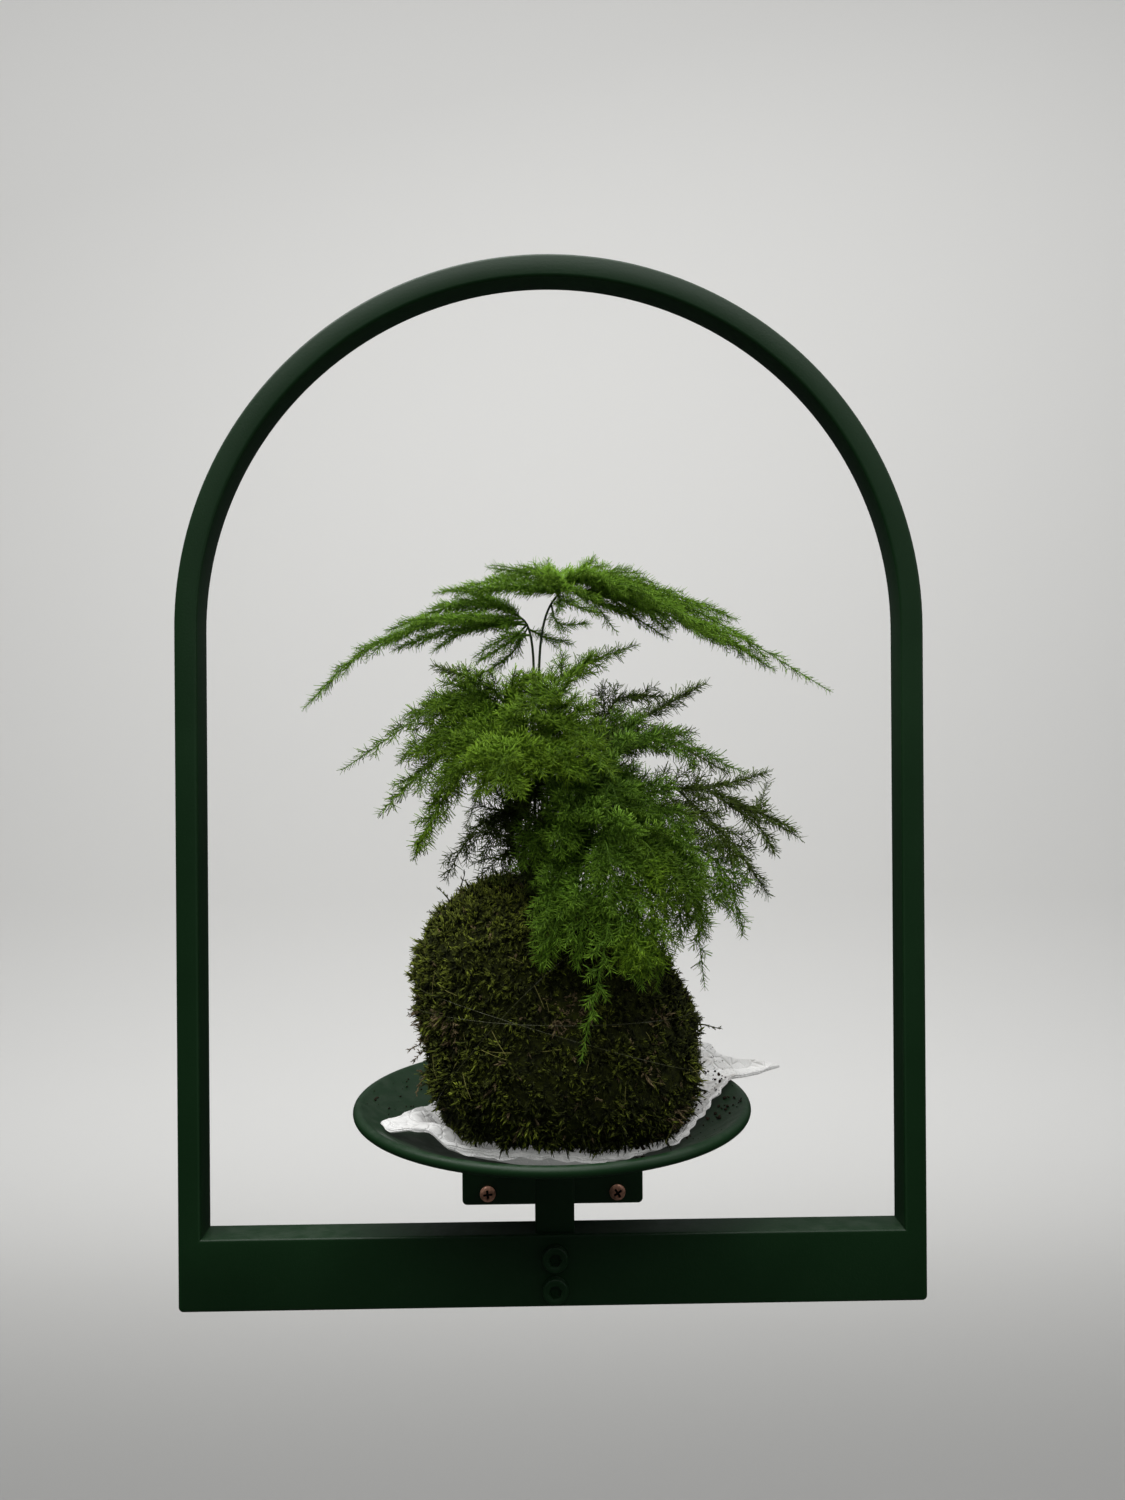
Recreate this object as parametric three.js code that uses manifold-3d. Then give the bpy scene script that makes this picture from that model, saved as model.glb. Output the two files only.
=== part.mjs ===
// Kokedama on a wall holder: an asparagus fern growing out of a moss-wrapped soil ball, which rests
// on a crumpled paper liner in a shallow dish, inside an arched frame that stands off the wall.
//
// Millimetres. Origin: centre of the wall plate's back face, on the wall. +X right, +Y into the
// wall, +Z up, so everything stands at negative Y.

import * as THREE from 'three';
import { mergeVertices } from 'three/addons/utils/BufferGeometryUtils.js';
import Module from 'manifold-3d';

const wasm = await Module();
wasm.setup();

// ---------------------------------------------------------------- driving dimensions

const GAP = 0.3;                       // clearance between pieces that touch

const FRAME = {
  width: 380, height: 534, face: 11.5, depth: 18.8, railHeight: 36.5,
  frontY: -120, bottomZ: -47.5, edge: 1.4,
};
const TUBE = { side: 20, edge: 1.0 };  // square tube of the post and the arm
const POST = { frontY: -117, bottomZ: -45 };
const PLATE = { width: 110, height: 84, thickness: 4, corner: 3 };
const SCREW = {
  spacingX: 79, spacingZ: 70, headRadius: 4.85, headHeight: 2.6, shankRadius: 2.2,
  recessSpan: 5, recessWidth: 1.1, recessDepth: 1.5,
};
const BOLT = {
  heights: [-22, -38], headRadius: 6.5, headHeight: 4.2, shankRadius: 3.9, reach: 14,
  socketRadius: 3.4, socketDepth: 2.8,
};
const DISH = { radius: 101.5, rimZ: 56, floorZ: 35, floorRadius: 46, wall: 2, lip: 2.8, rise: 1.5 };
const DISH_CENTRE = new THREE.Vector3(-0.8, -107.5, 0);

const PAPER = { thickness: 0.7, flatRadius: 44, rise: 2.2 };
// The liner's outer edge: azimuth in degrees from +X, distance from the dish's axis, height.
const PAPER_EDGE = [
  [-52, 74, 47], [-22, 76, 50], [-4, 82, 54], [8, 92, 60], [10.5, 99.5, 61], [13.5, 110, 60],
  [17, 124, 58.5], [19, 134, 57.5], [21.5, 116, 62], [24, 102, 66], [31, 97, 68], [44, 80, 60],
  [75, 72, 47], [125, 70, 45], [154, 66, 46], [173, 68, 47], [190, 71, 53], [198, 80, 55],
  [204, 91.5, 57.5], [209, 87, 55], [217.5, 76.5, 54], [223, 69, 47], [234, 64, 43.5],
  [262, 60, 42.5], [285, 62, 43],
];

const BALL = {
  centre: new THREE.Vector3(3.8, -107.7, 96), halfWidth: 71, halfDepth: 70, halfHeight: 71.4,
  squareness: 2.65, bottomZ: 36.4, leftShoulder: 15, rightFall: 35.5, leftTuck: 7, undercut: 7, undercutFrom: 0.58,
  undercutTo: 0.8, tuft: 1.3,
};
const MOSS_THICKNESS = 11;
const CROWN = { x: -2, y: -106, radius: 23, rootZ: 147, holeRadius: 1.9 };

const NEEDLE = { length: 6.5, lean: 0.8, footing: 0.62 };
const FERN = {
  stemRadius: 1.05, tipRadius: 0.5, branchRadius: 0.68, branchTip: 0.42,
  branchStep: 16.5, whorlStep: 11.8, stemStep: 36, branchAngle: 0.9, clearance: 0.45,
};

// ---------------------------------------------------------------- finishes

const finish = (color, roughness, metalness = 0) =>
  new THREE.MeshStandardMaterial({ color, roughness, metalness });

const FINISH = {
  green: () => finish(0x16301f, 0.45),
  copper: () => finish(0x8a5a44, 0.4, 0.8),
  paper: () => finish(0xdedbd3, 0.9),
  moss: () => finish(0x49501c, 0.95),
  soil: () => finish(0x2b2119, 0.95),
  fresh: () => finish(0x5d9a1c, 0.7),
  leaf: () => finish(0x3a7a20, 0.7),
  deep: () => finish(0x24511f, 0.7),
};

// ---------------------------------------------------------------- solids

// Indexed geometry as a solid: shared vertices merged, slivers dropped, faces turned outwards.
function solidOf(geometry) {
  const bare = geometry.clone();
  bare.deleteAttribute('normal');
  bare.deleteAttribute('uv');
  const merged = mergeVertices(bare, 1e-4);
  const index = merged.index.array;
  const corners = [];
  for (let i = 0; i < index.length; i += 3) {
    const [a, b, c] = [index[i], index[i + 1], index[i + 2]];
    if (a !== b && b !== c && c !== a) corners.push(a, b, c);
  }
  const vertProperties = new Float32Array(merged.attributes.position.array);
  if (signedVolume(vertProperties, corners) < 0) corners.reverse();
  return new wasm.Manifold(new wasm.Mesh({
    numProp: 3, vertProperties, triVerts: new Uint32Array(corners),
  }));
}

function signedVolume(xyz, corners) {
  const [a, b, c] = [new THREE.Vector3(), new THREE.Vector3(), new THREE.Vector3()];
  let volume = 0;
  for (let i = 0; i < corners.length; i += 3) {
    a.fromArray(xyz, corners[i] * 3);
    b.fromArray(xyz, corners[i + 1] * 3);
    c.fromArray(xyz, corners[i + 2] * 3);
    volume += a.dot(b.cross(c)) / 6;
  }
  return volume;
}

function geometryOf(solid) {
  const mesh = solid.getMesh();
  const geometry = new THREE.BufferGeometry();
  geometry.setAttribute('position', new THREE.BufferAttribute(new Float32Array(mesh.vertProperties), 3));
  geometry.setIndex(new THREE.BufferAttribute(new Uint32Array(mesh.triVerts), 1));
  geometry.computeVertexNormals();
  return geometry;
}

const cut = (body, tools) =>
  geometryOf(tools.reduce((left, tool) => left.subtract(solidOf(tool)), solidOf(body)));

const join = (pieces) =>
  geometryOf(pieces.slice(1).reduce((sum, piece) => sum.add(solidOf(piece)), solidOf(pieces[0])));

function boxBetween(low, high) {
  const size = high.map((value, axis) => value - low[axis]);
  const middle = high.map((value, axis) => (value + low[axis]) / 2);
  return new THREE.BoxGeometry(...size).translate(...middle);
}

// A cylinder along Y from yLow to yHigh.
const rodAlongY = (x, z, radius, yLow, yHigh, sides) =>
  new THREE.CylinderGeometry(radius, radius, yHigh - yLow, sides)
    .translate(x, (yLow + yHigh) / 2, 0)
    .translate(0, 0, z);

// A front-view outline (x across, y up) made solid from backY towards the viewer.
function frontSlab(outline, backY, depth, edge, curveSegments) {
  const geometry = new THREE.ExtrudeGeometry(outline, {
    depth: depth - 2 * edge, bevelEnabled: edge > 0, bevelThickness: edge, bevelSize: edge,
    bevelOffset: -edge, bevelSegments: 1, curveSegments,
  });
  return geometry.translate(0, 0, edge).rotateX(Math.PI / 2).translate(0, backY, 0);
}

function roundedRectangle(left, bottom, right, top, radius) {
  const shape = new THREE.Shape();
  shape.moveTo(left + radius, bottom);
  shape.lineTo(right - radius, bottom);
  shape.absarc(right - radius, bottom + radius, radius, -Math.PI / 2, 0, false);
  shape.lineTo(right, top - radius);
  shape.absarc(right - radius, top - radius, radius, 0, Math.PI / 2, false);
  shape.lineTo(left + radius, top);
  shape.absarc(left + radius, top - radius, radius, Math.PI / 2, Math.PI, false);
  shape.lineTo(left, bottom + radius);
  shape.absarc(left + radius, bottom + radius, radius, Math.PI, 1.5 * Math.PI, false);
  return shape;
}

// A turned piece: profile of [radius, height] pairs, standing along +Z.
const turned = (profile, segments) =>
  new THREE.LatheGeometry(profile.map(([r, h]) => new THREE.Vector2(r, h)), segments)
    .rotateX(Math.PI / 2);

// ---------------------------------------------------------------- the holder

const railTop = FRAME.bottomZ + FRAME.railHeight;

// The inverted U: two legs and the half-round top, standing on the rail's ends.
function archFrame() {
  const outer = FRAME.width / 2;
  const inner = outer - FRAME.face;
  const spring = FRAME.bottomZ + FRAME.height - outer;
  const foot = railTop + GAP;
  const outline = new THREE.Shape();
  outline.moveTo(-outer, foot);
  outline.lineTo(-inner, foot);
  outline.lineTo(-inner, spring);
  outline.absarc(0, spring, inner, Math.PI, 0, true);
  outline.lineTo(inner, foot);
  outline.lineTo(outer, foot);
  outline.lineTo(outer, spring);
  outline.absarc(0, spring, outer, 0, Math.PI, false);
  return frontSlab(outline, FRAME.frontY + FRAME.depth, FRAME.depth, FRAME.edge, 12);
}

// The rail, with a pocket for the post's foot behind its front wall and two bolt holes.
function bottomRail() {
  const half = FRAME.width / 2;
  const outline = roundedRectangle(-half, FRAME.bottomZ, half, railTop, 2.6);
  const body = frontSlab(outline, FRAME.frontY + FRAME.depth, FRAME.depth, FRAME.edge, 2);
  const side = TUBE.side / 2 + GAP;
  const pocket = boxBetween(
    [-side, POST.frontY - GAP, POST.bottomZ - GAP],
    [side, FRAME.frontY + FRAME.depth + 1, railTop + 1],
  );
  const holes = BOLT.heights.map((z) =>
    rodAlongY(0, z, BOLT.shankRadius + GAP, FRAME.frontY - 1, POST.frontY + 1, 12));
  return cut(body, [pocket, ...holes]);
}

// The upright under the dish, drilled for the two rail bolts.
function post() {
  const half = TUBE.side / 2;
  const topZ = DISH.floorZ - DISH.wall - GAP;
  const length = topZ - POST.bottomZ;
  const outline = roundedRectangle(-half, -half, half, half, TUBE.edge);
  const body = new THREE.ExtrudeGeometry(outline, { depth: length, bevelEnabled: false, curveSegments: 1 })
    .translate(0, POST.frontY + half, POST.bottomZ);
  const holes = BOLT.heights.map((z) =>
    rodAlongY(0, z, BOLT.shankRadius + GAP, POST.frontY - 1, FRAME.frontY + BOLT.reach + GAP, 12));
  return cut(body, holes);
}

// The arm from the wall plate to the back of the post.
function arm() {
  const half = TUBE.side / 2;
  const outline = roundedRectangle(-half, -half, half, half, TUBE.edge);
  const back = -PLATE.thickness - GAP;
  const front = POST.frontY + TUBE.side + GAP;
  return new THREE.ExtrudeGeometry(outline, { depth: back - front, bevelEnabled: false, curveSegments: 1 })
    .rotateX(Math.PI / 2).translate(0, back, 0);
}

function wallPlate() {
  const [halfWidth, halfHeight] = [PLATE.width / 2, PLATE.height / 2];
  const outline = roundedRectangle(-halfWidth, -halfHeight, halfWidth, halfHeight, PLATE.corner);
  for (const [x, z] of screwPlaces()) {
    const hole = new THREE.Path();
    hole.absarc(x, z, SCREW.shankRadius + GAP, 0, 2 * Math.PI, true);
    outline.holes.push(hole);
  }
  return frontSlab(outline, 0, PLATE.thickness, 0, 4);
}

function screwPlaces() {
  const [x, z] = [SCREW.spacingX / 2, SCREW.spacingZ / 2];
  return [[-x, -z], [x, -z], [-x, z], [x, z]];
}

// A pan-head wall screw with a cross recess; its shank stops inside the plate.
function wallScrew(x, z) {
  const { headRadius, headHeight, shankRadius, recessSpan, recessWidth, recessDepth } = SCREW;
  const shank = PLATE.thickness;
  const profile = [
    [0, -shank], [shankRadius, -shank], [shankRadius, 0], [headRadius, 0],
    [headRadius, headHeight * 0.35], [headRadius * 0.62, headHeight], [0, headHeight],
  ];
  const floor = headHeight - recessDepth;
  const [long, wide] = [recessSpan / 2, recessWidth / 2];
  const across = boxBetween([-long, -wide, floor], [long, wide, headHeight + 1]);
  const upright = boxBetween([-wide, -long, floor], [wide, long, headHeight + 1]);
  const turn = 0.35 + 0.5 * x / SCREW.spacingX;
  return cut(turned(profile, 12), [across, upright])
    .rotateZ(turn).rotateX(Math.PI / 2).translate(x, -PLATE.thickness - GAP, z);
}

// A socket-head bolt that ties the rail to the post.
function railBolt(z) {
  const { headRadius, headHeight, shankRadius, reach, socketRadius, socketDepth } = BOLT;
  const profile = [
    [0, -reach], [shankRadius, -reach], [shankRadius, 0], [headRadius, 0],
    [headRadius, headHeight - 0.7], [headRadius - 0.7, headHeight], [0, headHeight],
  ];
  const socket = new THREE.CylinderGeometry(socketRadius, socketRadius, socketDepth + 1, 6)
    .rotateX(Math.PI / 2).translate(0, 0, headHeight + 0.5 - socketDepth / 2);
  return cut(turned(profile, 16), [socket])
    .rotateX(Math.PI / 2).translate(0, FRAME.frontY - GAP, z);
}

// Height of the dish's inner face at a distance from its axis.
function dishInner(radius) {
  const share = Math.max(0, radius - DISH.floorRadius) / (DISH.radius - DISH.lip - DISH.floorRadius);
  return DISH.floorZ + (DISH.rimZ - DISH.floorZ) * share ** DISH.rise;
}

// A spun dish: flat floor, flared wall and a lip rolled into a bead.
function dish() {
  const stops = [0, 0.3, 0.56, 0.8, 0.96].map((share) =>
    DISH.floorRadius + share * (DISH.radius - DISH.lip - DISH.floorRadius));
  const under = stops.map((r) => [r, dishInner(r) - DISH.wall]);
  const inside = stops.map((r) => [r, dishInner(r)]).reverse();
  const lip = [-0.42, -0.14, 0.14, 0.42, 0.7].map((turn) => {
    const angle = turn * Math.PI;
    return [
      DISH.radius - DISH.lip + DISH.lip * Math.cos(angle),
      DISH.rimZ - DISH.lip + DISH.lip * Math.sin(angle),
    ];
  });
  const profile = [[0, DISH.floorZ - DISH.wall], ...under, ...lip, ...inside, [0, DISH.floorZ]];
  return turned(profile, 36).translate(DISH_CENTRE.x, DISH_CENTRE.y, 0);
}

// ---------------------------------------------------------------- the paper liner

// Edge radius and height at an azimuth in degrees, eased between the listed corners.
function paperEdge(azimuth) {
  const turn = azimuth < PAPER_EDGE[0][0] ? azimuth + 360 : azimuth;
  const closed = [...PAPER_EDGE, [PAPER_EDGE[0][0] + 360, PAPER_EDGE[0][1], PAPER_EDGE[0][2]]];
  const next = closed.findIndex(([at]) => at > turn);
  const [from, to] = [closed[next - 1], closed[next]];
  const share = (turn - from[0]) / (to[0] - from[0]);
  return [from[1] + share * (to[1] - from[1]), from[2] + share * (to[2] - from[2])];
}

// A point of the liner: share 0 is the flat middle's edge and 1 its outer edge.
function paperPoint(azimuth, share) {
  const [edgeRadius, edgeZ] = paperEdge(azimuth);
  const radius = PAPER.flatRadius + share * (edgeRadius - PAPER.flatRadius);
  const base = DISH.floorZ + GAP;
  const crumple = 0.7 * share * Math.sin(azimuth * 0.21 + 3 * share);
  const z = base + (edgeZ - base) * share ** PAPER.rise + crumple;
  return [radius, share > 0 ? Math.max(z, paperFloor(radius, edgeRadius)) : base];
}

// The lowest that the liner may lie: over the dish's wall, and over its lip, which the tail that
// hangs out of the dish clears from further in.
function paperFloor(radius, edgeRadius) {
  const overLip = edgeRadius > DISH.radius - DISH.lip ? DISH.radius - 23 : DISH.radius - 10;
  return radius > overLip ? DISH.rimZ + 1.5 : dishInner(radius) + 1;
}

function paperLiner() {
  const azimuths = [...PAPER_EDGE.map(([at]) => at)];
  for (let k = 0; k < PAPER_EDGE.length; k += 1) {
    const next = k + 1 < PAPER_EDGE.length ? PAPER_EDGE[k + 1][0] : PAPER_EDGE[0][0] + 360;
    if (next - PAPER_EDGE[k][0] > 12) azimuths.push((next + PAPER_EDGE[k][0]) / 2);
  }
  azimuths.sort((a, b) => a - b);
  const shares = [0, 0.3, 0.55, 0.77, 1];
  const rings = shares.map((share) => azimuths.map((azimuth) => {
    const [radius, z] = paperPoint(azimuth, share);
    const angle = THREE.MathUtils.degToRad(azimuth);
    return [radius * Math.cos(angle) + DISH_CENTRE.x, radius * Math.sin(angle) + DISH_CENTRE.y, z];
  }));
  return sheetSolid(rings, [DISH_CENTRE.x, DISH_CENTRE.y, DISH.floorZ + GAP], PAPER.thickness);
}

// A sheet given as rings round a middle point, thickened upwards.
function sheetSolid(rings, middle, thickness) {
  const count = rings[0].length;
  const lower = [middle, ...rings.flat()];
  const upper = lower.map(([x, y, z]) => [x, y, z + thickness]);
  const top = lower.length;
  const faces = [];
  const at = (ring, k) => 1 + ring * count + (k % count);
  const both = (a, b, c) => faces.push(a, c, b, top + a, top + b, top + c);
  for (let k = 0; k < count; k += 1) {
    both(0, at(0, k), at(0, k + 1));
    for (let ring = 0; ring + 1 < rings.length; ring += 1) {
      both(at(ring, k), at(ring + 1, k), at(ring + 1, k + 1));
      both(at(ring, k), at(ring + 1, k + 1), at(ring, k + 1));
    }
    const [a, b] = [at(rings.length - 1, k), at(rings.length - 1, k + 1)];
    faces.push(a, b, top + b, a, top + b, top + a);
  }
  return meshOf([...lower, ...upper], faces);
}

function meshOf(points, faces) {
  const geometry = new THREE.BufferGeometry();
  geometry.setAttribute('position', new THREE.Float32BufferAttribute(points.flat(), 3));
  geometry.setIndex(faces);
  geometry.computeVertexNormals();
  return geometry;
}

// ---------------------------------------------------------------- moss and soil

// Distance from the ball's centre to the smooth moss surface along a unit direction.
function ballRadius(d) {
  const { halfWidth, halfDepth, halfHeight, squareness } = BALL;
  const sum = Math.abs(d.x / halfWidth) ** squareness + Math.abs(d.y / halfDepth) ** squareness
    + Math.abs(d.z / halfHeight) ** squareness;
  const slant = Math.max(0, d.z) * d.x * (d.x < 0 ? BALL.leftShoulder : BALL.rightFall);
  const tuck = BALL.leftTuck * Math.max(0, -d.z) * Math.max(0, -d.x);
  const lumps = 1.6 * Math.sin(4 * d.x + 2) * Math.cos(5 * d.y - 1) + 1.3 * Math.sin(6 * d.z + 3 * d.y);
  const foot = BALL.undercut * THREE.MathUtils.smoothstep(-d.z, BALL.undercutFrom, BALL.undercutTo);
  return sum ** (-1 / squareness) - slant - tuck - foot + lumps;
}

// Relief of the moss tufts, faded out on the underside.
function tuftRelief(d) {
  const fade = THREE.MathUtils.smoothstep(d.z, -0.75, -0.35);
  const azimuth = Math.atan2(d.y, d.x);
  const weave = Math.sin(15 * azimuth + 4 * Math.sin(9 * d.z)) * Math.sin(19 * d.z + 2 * Math.sin(5 * azimuth));
  return BALL.tuft * fade * weave * Math.sqrt(1 - d.z * d.z);
}

// A ball whose surface lies at radiusAt(direction), flat where it would pass below bottomZ.
function lumpyBall(columns, rows, radiusAt, bottomZ) {
  const geometry = new THREE.SphereGeometry(1, columns, rows).rotateX(Math.PI / 2);
  const position = geometry.attributes.position;
  const d = new THREE.Vector3();
  for (let i = 0; i < position.count; i += 1) {
    d.fromBufferAttribute(position, i).normalize();
    const place = d.clone().multiplyScalar(radiusAt(d)).add(BALL.centre);
    position.setXYZ(i, place.x, place.y, Math.max(place.z, bottomZ));
  }
  return geometry;
}

// The moss layer: a hollow wrap, open at the crown where the stems come up.
function mossWrap() {
  const outside = lumpyBall(32, 18, (d) => ballRadius(d) + tuftRelief(d), BALL.bottomZ);
  const inside = lumpyBall(16, 10, (d) => ballRadius(d) - MOSS_THICKNESS, BALL.bottomZ + MOSS_THICKNESS * 0.6);
  const crown = new THREE.CylinderGeometry(CROWN.radius, CROWN.radius * 0.9, 60, 14)
    .rotateX(Math.PI / 2).translate(CROWN.x, CROWN.y, 180);
  return cut(outside, [inside, crown]);
}

// The soil and roots inside the wrap, with a plain hole for each stem.
function soilCore() {
  const body = lumpyBall(
    16, 10, (d) => ballRadius(d) - MOSS_THICKNESS - GAP * 1.5, BALL.bottomZ + MOSS_THICKNESS * 0.6 + GAP * 1.5,
  );
  const holes = LEAFY_STEMS.map(({ root }) =>
    new THREE.CylinderGeometry(CROWN.holeRadius, CROWN.holeRadius, 60, 5)
      .rotateX(Math.PI / 2).translate(root[0], root[1], CROWN.rootZ - GAP + 30));
  return cut(body, holes);
}

// ---------------------------------------------------------------- the fern

// Each leafy stem: where it leaves the soil, the points that its axis follows to the tip, the share
// of it that is bare, the way its flat blade faces, the blade's half width, and its side sprays,
// each of which leaves the stem at a share of its length.
const UP = [0, 0, 1];
const LEAFY_STEMS = [
  {
    name: 'crest_right', tone: 'leaf', root: [-3, -108],
    path: [[-6, -108, 235], [-5, -108, 292], [5, -110, 316], [26, -112, 324], [72, -120, 306], [139, -132, 263]],
    bare: 0.62, face: [0.1, -0.15, 1], width: 42,
    sprays: [
      { from: 0.6, path: [[-24, -92, 325], [-63, -78, 324]], bare: 0.1, face: UP, width: 26 },
      { from: 0.52, path: [[4, -118, 299], [19, -126, 298]], bare: 0.1, face: UP, width: 10 },
    ],
  },
  {
    name: 'crest_left', tone: 'leaf', root: [-8, -106],
    path: [[-9.5, -106, 235], [-9.5, -106, 288], [-18, -107, 305], [-43, -110, 307], [-94, -121, 285], [-123, -130, 256]],
    bare: 0.58, face: [-0.15, -0.1, 1], width: 38,
    sprays: [
      { from: 0.5, path: [[-24, -116, 288], [-38, -124, 279]], bare: 0.1, face: UP, width: 13 },
    ],
  },
  {
    name: 'left_bright', tone: 'fresh', root: [-13, -113],
    path: [[-20, -117, 215], [-28, -126, 258], [-52, -142, 258], [-98, -166, 226]],
    bare: 0.42, face: [-0.2, -0.55, 0.8], width: 34,
    sprays: [
      { from: 0.56, path: [[-45, -152, 240], [-80, -172, 206]], bare: 0.1, face: [-0.2, -0.7, 0.6], width: 24 },
    ],
  },
  {
    name: 'left_drooping', tone: 'fresh', root: [-10, -119],
    path: [[-13, -127, 205], [-22, -142, 240], [-42, -160, 228], [-64, -176, 185]],
    bare: 0.48, face: [-0.3, -0.8, 0.4], width: 25,
    sprays: [
      { from: 0.6, path: [[-24, -176, 232], [-14, -192, 214]], bare: 0.1, face: [0, -0.7, 0.7], width: 20 },
    ],
  },
  {
    name: 'left_back', tone: 'deep', root: [-16, -103],
    path: [[-26, -96, 210], [-32, -88, 252], [-46, -76, 274], [-64, -66, 282]],
    bare: 0.55, face: [0, -0.4, 1], width: 20,
    sprays: [
      { from: 0.3, path: [[-42, -92, 190], [-57, -88, 166]], bare: 0.2, face: [0, -1, 0.4], width: 18 },
      { from: 0.58, path: [[-52, -62, 246], [-74, -44, 232]], bare: 0.1, face: [0, -0.3, 1], width: 24 },
    ],
  },
  {
    name: 'front_fresh', tone: 'fresh', root: [-4, -121],
    path: [[-3, -132, 205], [2, -146, 246], [12, -166, 244], [27, -190, 222]],
    bare: 0.5, face: [0.1, -0.6, 0.8], width: 27,
    sprays: [
      { from: 0.47, path: [[14, -128, 258], [46, -118, 288]], bare: 0.15, face: [-0.4, -0.3, 0.8], width: 17 },
    ],
  },
  {
    name: 'right_upper', tone: 'deep', root: [5, -99],
    path: [[14, -92, 215], [28, -88, 244], [50, -82, 252], [86, -72, 271]],
    bare: 0.42, face: [-0.2, -0.6, 0.8], width: 24,
    sprays: [
      { from: 0.52, path: [[58, -96, 240], [92, -104, 222]], bare: 0.1, face: [0.2, -0.6, 0.8], width: 23 },
    ],
  },
  {
    name: 'right_middle', tone: 'leaf', root: [4, -112],
    path: [[13, -118, 205], [30, -128, 236], [54, -136, 240], [94, -144, 223]],
    bare: 0.42, face: [0.1, -0.6, 0.8], width: 28,
    sprays: [
      { from: 0.45, path: [[42, -146, 214], [66, -160, 186]], bare: 0.1, face: [0.1, -0.9, 0.4], width: 24 },
    ],
  },
  {
    name: 'right_far', tone: 'deep', root: [10, -105],
    path: [[32, -106, 196], [58, -110, 214], [90, -114, 210], [126, -120, 189]],
    bare: 0.36, face: [0.1, -0.5, 0.9], width: 25,
    sprays: [
      { from: 0.6, path: [[88, -104, 216], [114, -98, 222]], bare: 0.1, face: [0, -0.7, 0.7], width: 13 },
      { from: 0.64, path: [[92, -118, 186], [110, -118, 160]], bare: 0.1, face: [0.2, -1, 0.2], width: 17 },
    ],
  },
  {
    name: 'right_low', tone: 'leaf', root: [11, -115],
    path: [[34, -127, 190], [56, -140, 196], [76, -150, 172], [80, -154, 122]],
    bare: 0.36, face: [0.3, -1, 0.2], width: 25,
    sprays: [
      { from: 0.5, path: [[82, -134, 178], [94, -134, 142]], bare: 0.1, face: [0.5, -0.8, 0.2], width: 17 },
    ],
  },
  {
    name: 'front_hanging', tone: 'leaf', root: [2, -124],
    path: [[13, -148, 190], [24, -174, 192], [24, -190, 158], [11, -200, 99]],
    bare: 0.36, face: [0, -1, 0.1], width: 27,
    sprays: [
      { from: 0.4, path: [[-2, -172, 176], [-17, -186, 145]], bare: 0.1, face: [-0.2, -1, 0.2], width: 22 },
    ],
  },
  {
    name: 'front_right', tone: 'fresh', root: [7, -122],
    path: [[28, -143, 188], [44, -168, 190], [50, -184, 160], [45, -190, 127]],
    bare: 0.4, face: [0.2, -1, 0.1], width: 22,
    sprays: [],
  },
  {
    name: 'back_left', tone: 'deep', root: [-10, -93],
    path: [[-16, -80, 205], [-24, -62, 230], [-36, -42, 222], [-50, -24, 190]],
    bare: 0.4, face: [-0.2, 0.5, 0.8], width: 25,
    sprays: [
      { from: 0.5, path: [[-14, -46, 238], [0, -26, 232]], bare: 0.1, face: [0, 0.3, 1], width: 22 },
    ],
  },
  {
    name: 'back_right', tone: 'deep', root: [3, -90],
    path: [[16, -74, 200], [32, -58, 222], [52, -42, 212], [72, -30, 178]],
    bare: 0.4, face: [0.2, 0.5, 0.8], width: 25,
    sprays: [
      { from: 0.42, path: [[24, -40, 198], [20, -26, 168]], bare: 0.1, face: [0, 1, 0.3], width: 20 },
    ],
  },
];

const vector = (p) => new THREE.Vector3(...p);
const curveThrough = (points) => new THREE.CatmullRomCurve3(points, false, 'catmullrom', 0.5);

// Everything placed so far, as thin rods, so that one stem's foliage keeps clear of another's.
const placedRods = [];

function rodsApart(a, b) {
  const gap = a.radius + b.radius + FERN.clearance;
  const u = a.to.clone().sub(a.from);
  const v = b.to.clone().sub(b.from);
  const w = a.from.clone().sub(b.from);
  if (w.length() > u.length() + v.length() + gap) return true;
  const [uu, uv, vv, uw, vw] = [u.dot(u), u.dot(v), v.dot(v), u.dot(w), v.dot(w)];
  const spread = uu * vv - uv * uv;
  const clamp = (value) => Math.min(1, Math.max(0, value));
  let s = spread > 1e-9 ? clamp((uv * vw - vv * uw) / spread) : 0;
  const t = clamp((uv * s + vw) / vv);
  s = clamp((uv * t - uw) / uu);
  return w.addScaledVector(u, s).addScaledVector(v, -t).length() > gap;
}

// Clear of the moss, and of every rod that belongs to another stem.
function isFree(rod) {
  const middle = rod.from.clone().lerp(rod.to, 0.5);
  const clearOfMoss = [rod.from, middle, rod.to].every((point) => {
    const out = point.clone().sub(BALL.centre);
    const reach = out.length();
    const onCrown = Math.hypot(point.x - CROWN.x, point.y - CROWN.y) < CROWN.radius - 2;
    return onCrown || reach > ballRadius(out.divideScalar(reach)) + BALL.tuft + 1.5;
  });
  return clearOfMoss && placedRods.every((other) => other.stem === rod.stem || rodsApart(rod, other));
}

const rodsAlong = (stem, points, radius) =>
  points.slice(1).map((to, k) => ({ stem, from: points[k], to, radius }));

// How many side branches a blade bears, and where on its curve the k-th one leaves.
const branchCount = (curve, bare) =>
  Math.max(3, Math.round((curve.getLength() * (1 - bare)) / FERN.branchStep));

const branchShare = (k, count, bare) => bare + (1 - bare) * 0.94 * ((k + 0.5) / count);

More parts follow.
